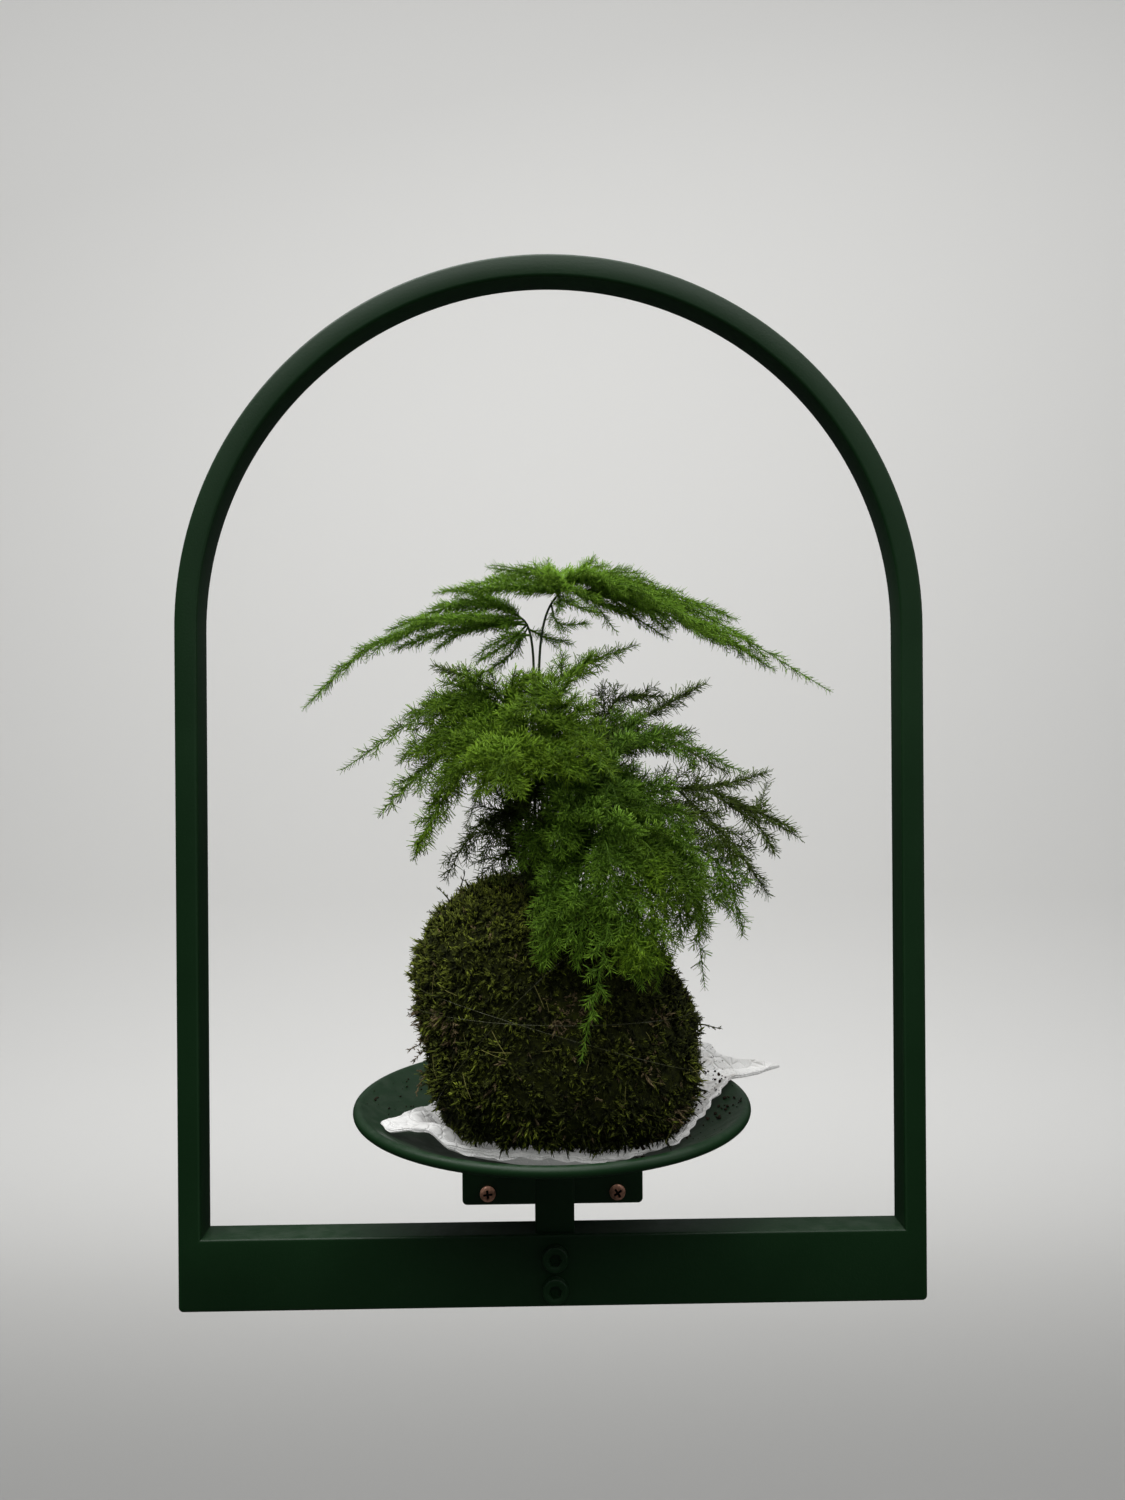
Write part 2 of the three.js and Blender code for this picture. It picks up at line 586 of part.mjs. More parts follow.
// The side branches of one blade, alternating left and right along the curve.
function branchesOf(stem, curve, bare, face, width) {
  const length = curve.getLength() * (1 - bare);
  const count = branchCount(curve, bare);
  const branches = [];
  for (let k = 0; k < count; k += 1) {
    const share = (k + 0.5) / count;
    const at = branchShare(k, count, bare);
    const along = curve.getTangent(at);
    const side = vector(face).cross(along).normalize().multiplyScalar(k % 2 ? 1 : -1);
    const out = vector(face).normalize().multiplyScalar(0.3 * Math.sin(2.4 * k + length));
    const reach = width * Math.min(1, 0.5 + 2.2 * share) * (1 - share) ** 0.7;
    const start = curve.getPoint(at);
    const heading = along.clone().multiplyScalar(Math.cos(FERN.branchAngle))
      .add(side.add(out).multiplyScalar(Math.sin(FERN.branchAngle))).normalize();
    for (const scale of [1, 0.65, 0.4]) {
      const branch = bowed(start, heading, along, reach * scale);
      const rods = rodsAlong(stem, branch.getPoints(3), FERN.branchRadius);
      if (reach * scale > 5 && rods.every(isFree)) {
        placedRods.push(...rods);
        branches.push(branch);
        break;
      }
    }
  }
  return branches;
}

// A branch that bends forward and sags a little towards its tip.
function bowed(start, heading, along, reach) {
  const middle = start.clone().addScaledVector(heading, reach * 0.5);
  const end = start.clone().addScaledVector(heading, reach * 0.85).addScaledVector(along, reach * 0.2);
  end.z -= reach * 0.08;
  return new THREE.QuadraticBezierCurve3(start, middle, end);
}

// A three-sided tapering core along a curve, closed at both ends. At each whorl every one of its
// six small faces is drawn out into a needle, unless that needle would touch another stem.
function needledCore(stem, curve, rootRadius, tipRadius, stations) {
  const frames = corePoints(curve, stations);
  const points = [];
  const faces = [];
  frames.forEach(({ centre, side, up, share }) => {
    const radius = rootRadius + (tipRadius - rootRadius) * share;
    for (let k = 0; k < 3; k += 1) {
      const angle = (k * 2 * Math.PI) / 3;
      const corner = centre.clone().addScaledVector(side, radius * Math.cos(angle))
        .addScaledVector(up, radius * Math.sin(angle));
      points.push(corner.toArray());
    }
  });
  faces.push(0, 2, 1);
  for (let ring = 0; ring + 1 < frames.length; ring += 1) {
    for (let k = 0; k < 3; k += 1) {
      const [a, b] = [ring * 3 + k, ring * 3 + ((k + 1) % 3)];
      const [c, d] = [b + 3, a + 3];
      const azimuth = ((k + 0.5) * 2 * Math.PI) / 3;
      if (frames[ring].whorl) {
        needle(stem, frames[ring], points, faces, [a, b, c], azimuth + 0.5);
        needle(stem, frames[ring], points, faces, [a, c, d], azimuth - 0.5);
      } else {
        faces.push(a, b, c, a, c, d);
      }
    }
  }
  const last = (frames.length - 1) * 3;
  const tip = frames[frames.length - 1];
  points.push(tip.centre.clone().addScaledVector(tip.along, NEEDLE.length * 0.7).toArray());
  const apex = points.length - 1;
  faces.push(last, last + 1, apex, last + 1, last + 2, apex, last + 2, last, apex);
  return meshOf(points, faces);
}

// One needle drawn out of a small face of the core.
function needle(stem, frame, points, faces, [a, b, c], azimuth) {
  const foot = vector(points[a]).add(vector(points[b])).add(vector(points[c])).divideScalar(3);
  const reach = NEEDLE.length * (0.85 + 0.15 * Math.sin(7 * azimuth + foot.x));
  const tip = foot.clone()
    .addScaledVector(frame.side, reach * Math.cos(NEEDLE.lean) * Math.cos(azimuth))
    .addScaledVector(frame.up, reach * Math.cos(NEEDLE.lean) * Math.sin(azimuth))
    .addScaledVector(frame.along, reach * Math.sin(NEEDLE.lean));
  const rod = { stem, from: foot, to: tip, radius: 0.4 };
  if (!isFree(rod)) {
    faces.push(a, b, c);
    return;
  }
  placedRods.push(rod);
  points.push(tip.toArray());
  const apex = points.length - 1;
  faces.push(a, b, apex, b, c, apex, c, a, apex);
}

// Frames carried along a curve without twist; each whorl takes two close rings.
function corePoints(curve, stations) {
  const length = curve.getLength();
  const half = NEEDLE.footing / length;
  const shares = stations.flatMap(({ share, whorl }) =>
    whorl ? [{ share: share - half, whorl }, { share: share + half }] : [{ share }]);
  let side = null;
  return shares.map(({ share, whorl }) => {
    const along = curve.getTangent(share);
    if (!side) side = new THREE.Vector3(0.31, 0.27, 0.91).cross(along).normalize();
    side = side.clone().addScaledVector(along, -side.dot(along)).normalize();
    return { share, whorl, centre: curve.getPoint(share), along, side, up: along.clone().cross(side) };
  });
}

// Whorls at even steps along a side branch.
function branchStations(curve) {
  const length = curve.getLength();
  const count = Math.max(1, Math.round((length - 2) / FERN.whorlStep));
  const whorls = [];
  for (let k = 0; k < count; k += 1) whorls.push({ share: (k + 0.8) / (count + 0.15), whorl: true });
  return [{ share: 0 }, ...whorls, { share: 0.995 }];
}

// Rings along a stem: bare steps, one at the top of its upright foot and one where each spray or
// branch leaves, so that its root is sunk in the core, and a whorl between the outer branches.
function stemStations(curve, bare, ringShares) {
  const plain = Math.max(2, Math.round((curve.getLength() * bare) / FERN.stemStep));
  const count = branchCount(curve, bare);
  const stations = [{ share: 0.995 }, ...ringShares.map((share) => ({ share }))];
  for (let k = 0; k < plain; k += 1) stations.push({ share: (bare * k) / plain });
  for (let k = 0; k < count; k += 1) {
    stations.push({ share: branchShare(k, count, bare) });
    if (k * 2 > count) stations.push({ share: branchShare(k + 0.45, count, bare), whorl: true });
  }
  return stations.sort((a, b) => a.share - b.share);
}

// The curve of a stem or spray and its branches, settled for every stem before any needle.
function layOut({ name, root, path, bare, face, width, sprays }) {
  const foot = [new THREE.Vector3(root[0], root[1], CROWN.rootZ), new THREE.Vector3(root[0], root[1], CROWN.rootZ + 24)];
  const stem = curveThrough([...foot, ...path.map(vector)]);
  const ringShares = [1 / (path.length + 1), ...sprays.map(({ from }) => from)];
  const blades = [{ curve: stem, bare, face, width, radius: FERN.stemRadius, ringShares }];
  for (const spray of sprays) {
    const curve = curveThrough([stem.getPoint(spray.from), ...spray.path.map(vector)]);
    blades.push({ ...spray, curve, radius: FERN.branchRadius * 1.15, ringShares: [] });
  }
  blades.forEach(({ curve, radius }) => {
    const rods = rodsAlong(name, curve.getPoints(16), radius);
    if (!rods.every((rod) => placedRods.every((other) => other.stem === name || rodsApart(rod, other)))) {
      throw new Error(`the axis of ${name} meets another stem`);
    }
    placedRods.push(...rods);
  });
  return { name, blades };
}

function leafyStem({ name, blades }) {
  const cores = blades.flatMap(({ curve, bare, radius, ringShares, branches }) => [
    needledCore(name, curve, radius, FERN.tipRadius, stemStations(curve, bare, ringShares)),
    ...branches.map((branch) =>
      needledCore(name, branch, FERN.branchRadius, FERN.branchTip, branchStations(branch))),
  ]);
  return join(cores);
}

// ---------------------------------------------------------------- assembly

const part = new THREE.Group();

function add(name, geometry, material) {
  const mesh = new THREE.Mesh(geometry, material);
  mesh.name = name;
  part.add(mesh);
}

add('arch_frame', archFrame(), FINISH.green());
add('bottom_rail', bottomRail(), FINISH.green());
add('post', post(), FINISH.green());
add('arm', arm(), FINISH.green());
add('wall_plate', wallPlate(), FINISH.green());
screwPlaces().forEach(([x, z], k) => add(`wall_screw_${k + 1}`, wallScrew(x, z), FINISH.copper()));
BOLT.heights.forEach((z, k) => add(`rail_bolt_${k + 1}`, railBolt(z), FINISH.green()));
add('dish', dish(), FINISH.green());
add('paper_liner', paperLiner(), FINISH.paper());
add('moss_wrap', mossWrap(), FINISH.moss());
add('soil_core', soilCore(), FINISH.soil());

const laidOut = LEAFY_STEMS.map(layOut);
for (const { name, blades } of laidOut) {
  for (const blade of blades) {
    blade.branches = branchesOf(name, blade.curve, blade.bare, blade.face, blade.width);
  }
}
laidOut.forEach((stem, k) => add(`fern_${stem.name}`, leafyStem(stem), FINISH[LEAFY_STEMS[k].tone]()));

export default part;
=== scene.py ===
import math
import random

import bmesh
import bpy
import numpy as np
from bpy.props import FloatProperty, FloatVectorProperty, IntProperty, PointerProperty
from bpy.types import Operator, Panel, PropertyGroup
from mathutils import Matrix, Vector, noise


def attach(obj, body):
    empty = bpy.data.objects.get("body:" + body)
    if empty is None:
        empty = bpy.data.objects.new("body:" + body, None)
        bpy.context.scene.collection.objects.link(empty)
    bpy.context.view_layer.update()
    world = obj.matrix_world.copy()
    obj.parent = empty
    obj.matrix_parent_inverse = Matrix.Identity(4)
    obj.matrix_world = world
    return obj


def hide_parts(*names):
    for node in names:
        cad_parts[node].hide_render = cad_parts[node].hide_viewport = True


bl_info = {
    "name": "Kokedama on a wall holder",
    "version": (1, 0, 0),
    "blender": (4, 5, 0),
    "location": "3D View > Sidebar > Kokedama",
    "description": "A moss ball with its fern, on tissue in a dish that hangs in an arched frame",
    "category": "Object",
}

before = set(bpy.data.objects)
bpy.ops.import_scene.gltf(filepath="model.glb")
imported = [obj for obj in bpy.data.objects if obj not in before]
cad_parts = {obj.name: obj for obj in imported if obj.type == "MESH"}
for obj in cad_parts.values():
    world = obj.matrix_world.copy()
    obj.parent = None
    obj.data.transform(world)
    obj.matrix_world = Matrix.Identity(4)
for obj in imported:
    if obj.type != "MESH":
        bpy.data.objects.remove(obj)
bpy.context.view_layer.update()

MM = 0.001
GAP = 0.3 * MM  # clearance between two pieces that meet
IMAGE_HEIGHT = 1500
SENSOR = 36.0


def length(name, default_mm, description):
    """A length property whose default is given in millimetres."""
    return FloatProperty(
        name=name, description=description, default=default_mm * MM, unit="LENGTH", precision=5)


def spot(name, default_mm, description):
    """A place whose default is given in millimetres."""
    return FloatVectorProperty(
        name=name, description=description, default=[value * MM for value in default_mm],
        subtype="TRANSLATION", unit="LENGTH", precision=5)


def power(name, default, description):
    """The strength of a light."""
    return FloatProperty(name=name, description=description, default=default, unit="POWER")


def share(name, default, description):
    """A property between 0 and 1."""
    return FloatProperty(
        name=name, description=description, default=default, subtype="FACTOR", min=0.0, max=1.0)


def colour(name, default, description):
    """A colour without transparency."""
    return FloatVectorProperty(
        name=name, description=description, default=(*default, 1.0), size=4, subtype="COLOR",
        min=0.0, max=1.0)


# ------------------------------------------------------------------ what a user would change


class HolderSizes(PropertyGroup):
    width: length("Width", 380, "Frame from side to side")
    height: length("Height", 534, "Frame from its bottom to the top of the arch")
    face: length("Leg width", 11.5, "Leg seen from the front")
    depth: length("Depth", 18.8, "Frame from front to back")
    rail: length("Rail height", 36.5, "Bottom rail seen from the front")
    front: length("Front", -120, "Place of the frame's front face before the wall")
    bottom: length("Bottom", -47.5, "Height of the frame's underside")
    edge: length("Edge", 1.5, "Rounding of the long edges")
    corner: length("Corner", 2.6, "Rounding of the two bottom corners")
    tube: length("Tube", 20, "Side of the square tube of the post and the arm")
    tube_edge: length("Tube edge", 1.1, "Rounding of the square tube")
    tube_front: length("Post front", -117, "Place of the post's front face before the wall")
    tube_bottom: length("Post bottom", -45, "Height of the post's lower end")
    plate_width: length("Plate width", 110, "Wall plate from side to side")
    plate_height: length("Plate height", 84, "Wall plate from bottom to top")
    plate_thickness: length("Plate thickness", 4, "Wall plate from front to back")
    plate_corner: length("Plate corner", 3, "Rounding of the wall plate's corners")


class FixingSizes(PropertyGroup):
    screw_across: length("Screw spacing", 79, "Wall screws from side to side")
    screw_up: length("Screw rise", 70, "Wall screws from bottom to top")
    screw_head: length("Screw head", 4.85, "Radius of a wall screw's head")
    screw_rise: length("Screw head height", 2.6, "Height of a wall screw's head")
    bolt_head: length("Bolt head", 6.5, "Radius of a rail bolt's head")
    bolt_rise: length("Bolt head height", 4.2, "Height of a rail bolt's head")
    bolt_socket: length("Bolt socket", 3.4, "Radius of the hexagon socket")


class DishSizes(PropertyGroup):
    radius: length("Radius", 101.5, "Dish from its axis to the outside of the lip")
    rim: length("Rim height", 56, "Height of the lip's top")
    floor: length("Floor height", 35, "Height of the dish's flat inside")
    floor_radius: length("Floor radius", 46, "Radius of the flat inside")
    wall: length("Wall", 2, "Thickness of the spun sheet")
    lip: length("Lip", 2.8, "Radius of the bead that the lip is rolled into")
    centre: spot("Centre", (-0.8, -107.5, 0.0), "Place of the dish's axis")


class PaperSizes(PropertyGroup):
    thickness: length("Thickness", 0.4, "One sheet that stands for two-ply tissue and its air")
    crumple: length("Crumple", 1.9, "Height of the broad creases along the free edge")
    wrinkle: length("Wrinkle", 0.45, "Height of the small creases")
    lift: length("Lift", 0.9, "Least gap between the tissue and the dish")


class MossSizes(PropertyGroup):
    centre: spot("Centre", (3.8, -107.7, 96), "Middle of the moss ball")
    strands: IntProperty(
        name="Strands", description="Number of moss strands on the ball", default=24000, min=0)
    strand_length: length("Strand length", 6.6, "Mean length of a moss strand")
    crown: length("Crown", 23, "Radius of the opening where the stems come up")
    thread: length("Thread", 0.2, "Thickness of the binding thread")


class FernSizes(PropertyGroup):
    whorl_step: length("Whorl step", 1.2, "Distance between the whorls of needles along a twig")
    twig_step: length("Twig step", 3.7, "Distance between the twigs of a side branch")
    stem: length("Stem", 0.95, "Radius of a stem at the soil")


class Colours(PropertyGroup):
    green: colour("Green coat", (0.0050, 0.025, 0.0065), "Powder coat of the holder and the dish")
    copper: colour("Copper screw", (0.56, 0.29, 0.19), "Bronzed wall screws")
    paper: colour("Paper", (0.72, 0.715, 0.70), "Tissue under the ball")
    moss_dark: colour("Moss in shade", (0.008, 0.010, 0.0025), "Roots of the moss strands")
    moss_light: colour("Moss tips", (0.430, 0.520, 0.050), "Tips of the moss strands")
    moss_dead: colour("Dead moss", (0.200, 0.150, 0.075), "Dry strands")
    soil: colour("Soil", (0.020, 0.013, 0.008), "Peat and crumbs")
    fresh: colour("Fresh frond", (0.088, 0.178, 0.006), "Young fronds")
    leaf: colour("Frond", (0.088, 0.190, 0.010), "Grown fronds")
    deep: colour("Old frond", (0.068, 0.104, 0.012), "Old fronds at the back")
    stem: colour("Stems", (0.020, 0.038, 0.012), "Stems at the foot")
    backdrop: colour("Backdrop", (0.80, 0.795, 0.775), "Floor and backdrop")


class StageSizes(PropertyGroup):
    floor: length("Floor", -700, "Height of the floor under the hanging frame")
    backdrop: length("Backdrop", 1900, "Distance of the backdrop behind the wall plate")
    ceiling: power("Ceiling light", 18.0, "Strength of the broad light overhead")
    front: power("Front light", 13.0, "Strength of the soft light above and before the object")
    window: power("Side light", 1.8, "Strength of the soft light from the right")
    rear: power("Backdrop light", 46.0, "Strength of the light on the backdrop")
    sky: share("Sky", 0.35, "Brightness of the even light from above")


class KokedamaSettings(PropertyGroup):
    holder: PointerProperty(type=HolderSizes)
    fixings: PointerProperty(type=FixingSizes)
    dish: PointerProperty(type=DishSizes)
    paper: PointerProperty(type=PaperSizes)
    moss: PointerProperty(type=MossSizes)
    fern: PointerProperty(type=FernSizes)
    colours: PointerProperty(type=Colours)
    stage: PointerProperty(type=StageSizes)


# ------------------------------------------------------------------ finishes

DUST = (0.15, 0.165, 0.145, 1.0)
# Near-black painted shade for the screws' cross recesses.
RECESS_PAINTED_SHADE = (0.006, 0.004, 0.003, 1.0)
PEAT_STAIN = (0.20, 0.16, 0.11, 1.0)
THREAD_DARK = (0.045, 0.05, 0.02, 1.0)
THREAD_LIGHT = (0.12, 0.125, 0.06, 1.0)
FRESH_TIP = (0.19, 0.32, 0.015, 1.0)
LEAF_TIP = (0.22, 0.40, 0.03, 1.0)
DEEP_TIP = (0.11, 0.18, 0.02, 1.0)
SKY_LOW = (0.045, 0.047, 0.05, 1.0)
SKY_HIGH = (0.95, 0.97, 1.0, 1.0)


class Wire:
    """A socket that Python expressions can use; each operator adds its Math node."""

    def __init__(self, tree, socket=None):
        self.tree = tree
        self.socket = socket

    def node(self, kind, settings=None, inputs=None, output=0):
        """Any shader node: its settings are set first, then the values or links of its sockets."""
        made = self.tree.nodes.new("ShaderNode" + kind)
        for name, value in (settings or {}).items():
            if name == "stops":
                set_stops(made.color_ramp, value)
            else:
                setattr(made, name, value)
        for name, value in (inputs or {}).items():
            if isinstance(value, Wire):
                self.tree.links.new(value.socket, made.inputs[name])
            else:
                made.inputs[name].default_value = value
        return Wire(self.tree, made.outputs[output] if made.outputs else None)

    def maths(self, operation, *values):
        return self.node("Math", {"operation": operation}, dict(enumerate(values)))

    def __add__(self, other):
        return self.maths("ADD", self, other)

    def __mul__(self, other):
        return self.maths("MULTIPLY", self, other)

    def __sub__(self, other):
        return self.maths("SUBTRACT", self, other)

    def __rsub__(self, other):
        return self.maths("SUBTRACT", other, self)

    def __pow__(self, other):
        return self.maths("POWER", self, other)

    __radd__ = __add__
    __rmul__ = __mul__


def set_stops(ramp, stops):
    """A colour ramp's stops, each a place and a grey value or a colour."""
    while len(ramp.elements) < len(stops):
        ramp.elements.new(1.0)
    for element, (place, value) in zip(ramp.elements, stops):
        element.position = place
        element.color = (value, value, value, 1.0) if isinstance(value, (int, float)) else value


def place_of(start):
    return start.node("TexCoord", output="Object")


def clouds(start, scale, detail=2.0, place=None, roughness=0.5):
    """Soft noise; scale is in waves to the metre."""
    return start.node("TexNoise", {}, {
        "Vector": place or place_of(start), "Scale": scale, "Detail": detail, "Roughness": roughness})


def step(start, value, low, high):
    """0 below low, 1 above high, eased in between."""
    return start.node(
        "MapRange", {"interpolation_type": "SMOOTHSTEP"}, {"Value": value, "From Min": low, "From Max": high})


def tint(start, factor, low, high):
    """The colour low where factor is 0 and high where it is 1."""
    return start.node("Mix", {"data_type": "RGBA"}, {"Factor": factor, 6: low, 7: high}, output=2)


def bump(start, height, strength, distance):
    return start.node("Bump", {}, {"Height": height, "Strength": strength, "Distance": distance})


def shade_of(start, name):
    return start.node("Attribute", {"attribute_name": name}, output="Fac")


def finish(name, paint):
    """A material whose shader takes the values and links that paint gives."""
    material = bpy.data.materials.new(name)
    material.use_nodes = True
    material.node_tree.nodes.clear()
    start = Wire(material.node_tree)
    skin = start.node("BsdfPrincipled", {}, paint(start))
    start.node("OutputMaterial", {}, {"Surface": skin})
    return material


def darker(rgba, amount):
    return (rgba[0] * amount, rgba[1] * amount, rgba[2] * amount, 1.0)


def powder_coat(green):
    """Satin powder coat: orange peel, faint clouds, and dust on what faces up."""
    def paint(start):
        place = place_of(start)
        peel = clouds(start, 900, 2.0, place)
        grain = clouds(start, 4200, 1.0, place)
        cloud = clouds(start, 22, 3.0, place)
        up = start.node("SeparateXYZ", {}, {0: start.node("NewGeometry", output="Normal")}, output="Z")
        dust = step(start, up, 0.35, 1.0) * step(start, clouds(start, 140, 4.0, place), 0.35, 0.75)
        body = tint(start, cloud, darker(green, 0.82), darker(green, 1.2))
        return {
            "Base Color": tint(start, dust * 0.10, body, DUST),
            "Roughness": 0.36 + cloud * 0.10 + dust * 0.18,
            "Specular IOR Level": 0.27,
            "Normal": bump(start, peel * 0.8 + grain * 0.2, 0.22, 0.0004),
        }
    return finish("green_powder_coat", paint)


def bronzed_copper(copper, across, up, face):
    """Screw metal with fine turning marks and a brown patina, and painted shade, near black, in the cross
    recesses behind face.
    """
    def paint(start):
        place = place_of(start)
        x, y, z = (start.node("SeparateXYZ", {}, {0: place}, output=axis) for axis in "XYZ")
        off_x = x.maths("ABSOLUTE", x) - across / 2
        off_z = z.maths("ABSOLUTE", z) - up / 2
        aside = step(start, off_x * off_x + off_z * off_z, (2.7 * MM) ** 2, (3.0 * MM) ** 2)
        # Painted shade: the cross recesses, deeper than face, are painted near black.
        recess = step(start, y, face + 0.7 * MM, face + 1.0 * MM) * (1 - aside)
        patina = clouds(start, 420, 4.0, place)
        marks = clouds(start, 5200, 2.0, place)
        metal = tint(start, step(start, patina, 0.32, 0.7), darker(copper, 0.45), tuple(copper))
        return {
            "Base Color": tint(start, recess, metal, RECESS_PAINTED_SHADE),
            "Metallic": 0.45,
            "Roughness": 0.32 + patina * 0.22,
            "Normal": bump(start, marks, 0.25, 0.0001),
        }
    return finish("bronzed_copper", paint)


def tissue(paper, soil):
    """Crumpled tissue with fine fibres, painted shade in the hollows of its folds, peat stains and specks
    towards its right side, and a faint painted glow.
    """
    def paint(start):
        place = place_of(start)
        fibres = clouds(start, 2600, 3.0, place)
        folds = clouds(start, 160, 5.0, place, 0.62)
        cells = start.node("TexVoronoi", {"feature": "DISTANCE_TO_EDGE"}, {
            "Vector": place, "Scale": 170.0, "Randomness": 1.0})
        crease = step(start, cells, 0.0, 0.16)
        across = start.node("SeparateXYZ", {}, {0: place}, output="X")
        dirty = step(start, across, 0.045, 0.080) - step(start, across, 0.094, 0.106) * 0.75
        specks = step(start, clouds(start, 240, 5.0, place, 0.75), 0.66 - dirty * 0.07, 0.68 - dirty * 0.07)
        stain = step(start, clouds(start, 95, 3.0, place), 0.42, 0.75) * (0.05 + dirty * 0.45)
        # Painted shade: the paper is darker where the fold relief is low.
        paper_with_fold_shade = tint(start, folds, darker(paper, 0.86), tuple(paper))
        stained = tint(start, stain, paper_with_fold_shade, PEAT_STAIN)
        return {
            "Base Color": tint(start, specks * (0.25 + dirty * 0.7), stained, tuple(soil)),
            "Roughness": 0.92,
            "Specular IOR Level": 0.2,
            # Painted light: a faint glow in the paper's own colour, though the tissue is no lamp.
            "Emission Color": tuple(paper),
            "Emission Strength": 0.16,
            "Normal": bump(start, folds * 0.45 + fibres * 0.15 + crease * 0.4, 0.8, 0.0016),
        }
    return finish("crumpled_tissue", paint)


def moss_mat(colours):
    """The felt under the strands: painted shade, in the moss-in-shade colour, in its hollows, and olive on
    its raised lumps.
    """
    def paint(start):
        place = place_of(start)
        lumps = clouds(start, 260, 4.0, place)
        felt = clouds(start, 1500, 3.0, place)
        olive = darker(colours.moss_light, 0.08)
        # Painted shade in the hollows, and a lighter olive on the raised lumps.
        lit_where_raised = step(start, lumps * 0.6 + felt * 0.4, 0.35, 0.7)
        return {
            "Base Color": tint(start, lit_where_raised, tuple(colours.moss_dark), olive),
            "Roughness": 0.95,
            "Specular IOR Level": 0.15,
            "Normal": bump(start, lumps * 0.5 + felt * 0.5, 0.9, 0.0015),
        }
    return finish("moss_mat", paint)


def moss_strand_finish(colours):
    """Moss strands: painted shade at the root, olive to yellow-green at the tip, brown where they are dry,
    dry ones also with painted shade at the root.
    """
    def paint(start):
        tip, tone, dry = (shade_of(start, name) for name in ("tip", "tone", "dry"))
        patch = step(start, clouds(start, 60, 2.0), 0.35, 0.68)
        light = tint(start, patch, darker(colours.moss_light, 0.55), tuple(colours.moss_light))
        # Painted shade: the moss-in-shade colour at the root, fading to the lit colour at the tip.
        lit = tint(start, tip ** 2.8 * (0.08 + tone * 0.92), tuple(colours.moss_dark), light)
        dead = colours.moss_dead
        # Dry strands also get painted shade towards the root.
        brown = tint(start, tip * 0.5 + tone * 0.5, darker(dead, 0.3), darker(dead, 1.5))
        return {
            "Base Color": tint(start, dry, lit, brown),
            "Roughness": 0.72,
            "Specular IOR Level": 0.2,
        }
    return finish("moss_strands", paint)


def peat(soil):
    """Damp peat, lumpy and almost black."""
    def paint(start):
        place = place_of(start)
        lumps = clouds(start, 420, 5.0, place, 0.65)
        return {
            "Base Color": tint(start, step(start, lumps, 0.35, 0.8), darker(soil, 0.5), darker(soil, 2.6)),
            "Roughness": 0.97,
            "Specular IOR Level": 0.12,
            "Normal": bump(start, lumps, 0.9, 0.002),
        }
    return finish("peat", paint)


def frond(name, body, tip_colour, stem):
    """A frond: needles go from the body colour to a yellower green at the young ends."""
    def paint(start):
        young, tone, woody = (shade_of(start, name) for name in ("young", "tone", "woody"))
        patch = clouds(start, 45, 2.0)
        grown = tint(start, tone * 0.65 + patch * 0.35, darker(body, 0.4), darker(body, 1.55))
        leafy = tint(start, young, grown, tip_colour)
        return {
            "Base Color": tint(start, woody, leafy, tuple(stem)),
            "Roughness": 0.50 + tone * 0.12,
            "Specular IOR Level": 0.2,
        }
    return finish(name, paint)


def nylon():
    """Thin clear thread, darkened by the moss behind it."""
    def paint(start):
        marks = clouds(start, 900, 2.0)
        return {
            "Base Color": tint(start, marks, THREAD_DARK, THREAD_LIGHT),
            "Roughness": 0.16 + marks * 0.15,
            "Specular IOR Level": 0.8,
        }
    return finish("binding_thread", paint)


# ------------------------------------------------------------------ shapes


def loose_object(bm, name):
    mesh = bpy.data.meshes.new(name)
    bm.to_mesh(mesh)
    bm.free()
    made = bpy.data.objects.new(name, mesh)
    bpy.context.scene.collection.objects.link(made)
    return made


def only(kind, items):
    """The vertices, edges or faces among an operator's results."""
    return [item for item in items if isinstance(item, kind)]


def remove(*objects):
    """Takes objects out of the file, with their data."""
    for item in objects:
        data = item.data
        bpy.data.objects.remove(item)
        if data.users == 0:
            (bpy.data.curves if isinstance(data, bpy.types.Curve) else bpy.data.meshes).remove(data)


def dressed(piece, material, replaced=(), sharp=None):
    """Gives a piece its material and smooth shading with any sharp edges, attaches it to the root body, and
    hides the nodes that it stands for.
    """
    piece.data.materials.append(material)
    piece.data.shade_smooth()
    if sharp is not None:
        piece.data.set_sharp_from_angle(angle=math.radians(sharp))
    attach(piece, "root")
    if replaced:
        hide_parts(*replaced)
    return piece


def cut_out(bm, *tools):
    """A shape less the tools, through Boolean modifiers that are applied at once."""
    body = loose_object(bm, "uncut")
    shapes = [loose_object(tool, "cutter") for tool in tools]
    for shape in shapes:
        change = body.modifiers.new("cut", "BOOLEAN")
        change.operation = "DIFFERENCE"
        change.solver = "EXACT"
        change.object = shape
    done = body.evaluated_get(bpy.context.evaluated_depsgraph_get())
    result = bmesh.new()
    result.from_mesh(done.to_mesh())
    done.to_mesh_clear()
    remove(body, *shapes)
    return result


def box(low, high):
    """A box between two corners."""
    bm = bmesh.new()
    size = Vector(high) - Vector(low)
    middle = (Vector(high) + Vector(low)) / 2
    bmesh.ops.create_cube(bm, size=1.0, matrix=Matrix.Translation(middle) @ Matrix.Diagonal((*size, 1.0)))
    return bm


def outward_edges(bm, least=0.5):
    """Edges where two faces meet at an outward angle of more than least."""
    bmesh.ops.recalc_face_normals(bm, faces=bm.faces)
    bm.normal_update()
    return [e for e in bm.edges if e.is_manifold and e.is_convex and e.calc_face_angle(0.0) > least]


def round_edges(bm, edges, offset, segments):
    bmesh.ops.bevel(
        bm, geom=edges, offset=offset, offset_type="OFFSET", segments=segments, profile=0.5,
        affect="EDGES", material=-1, clamp_overlap=True)


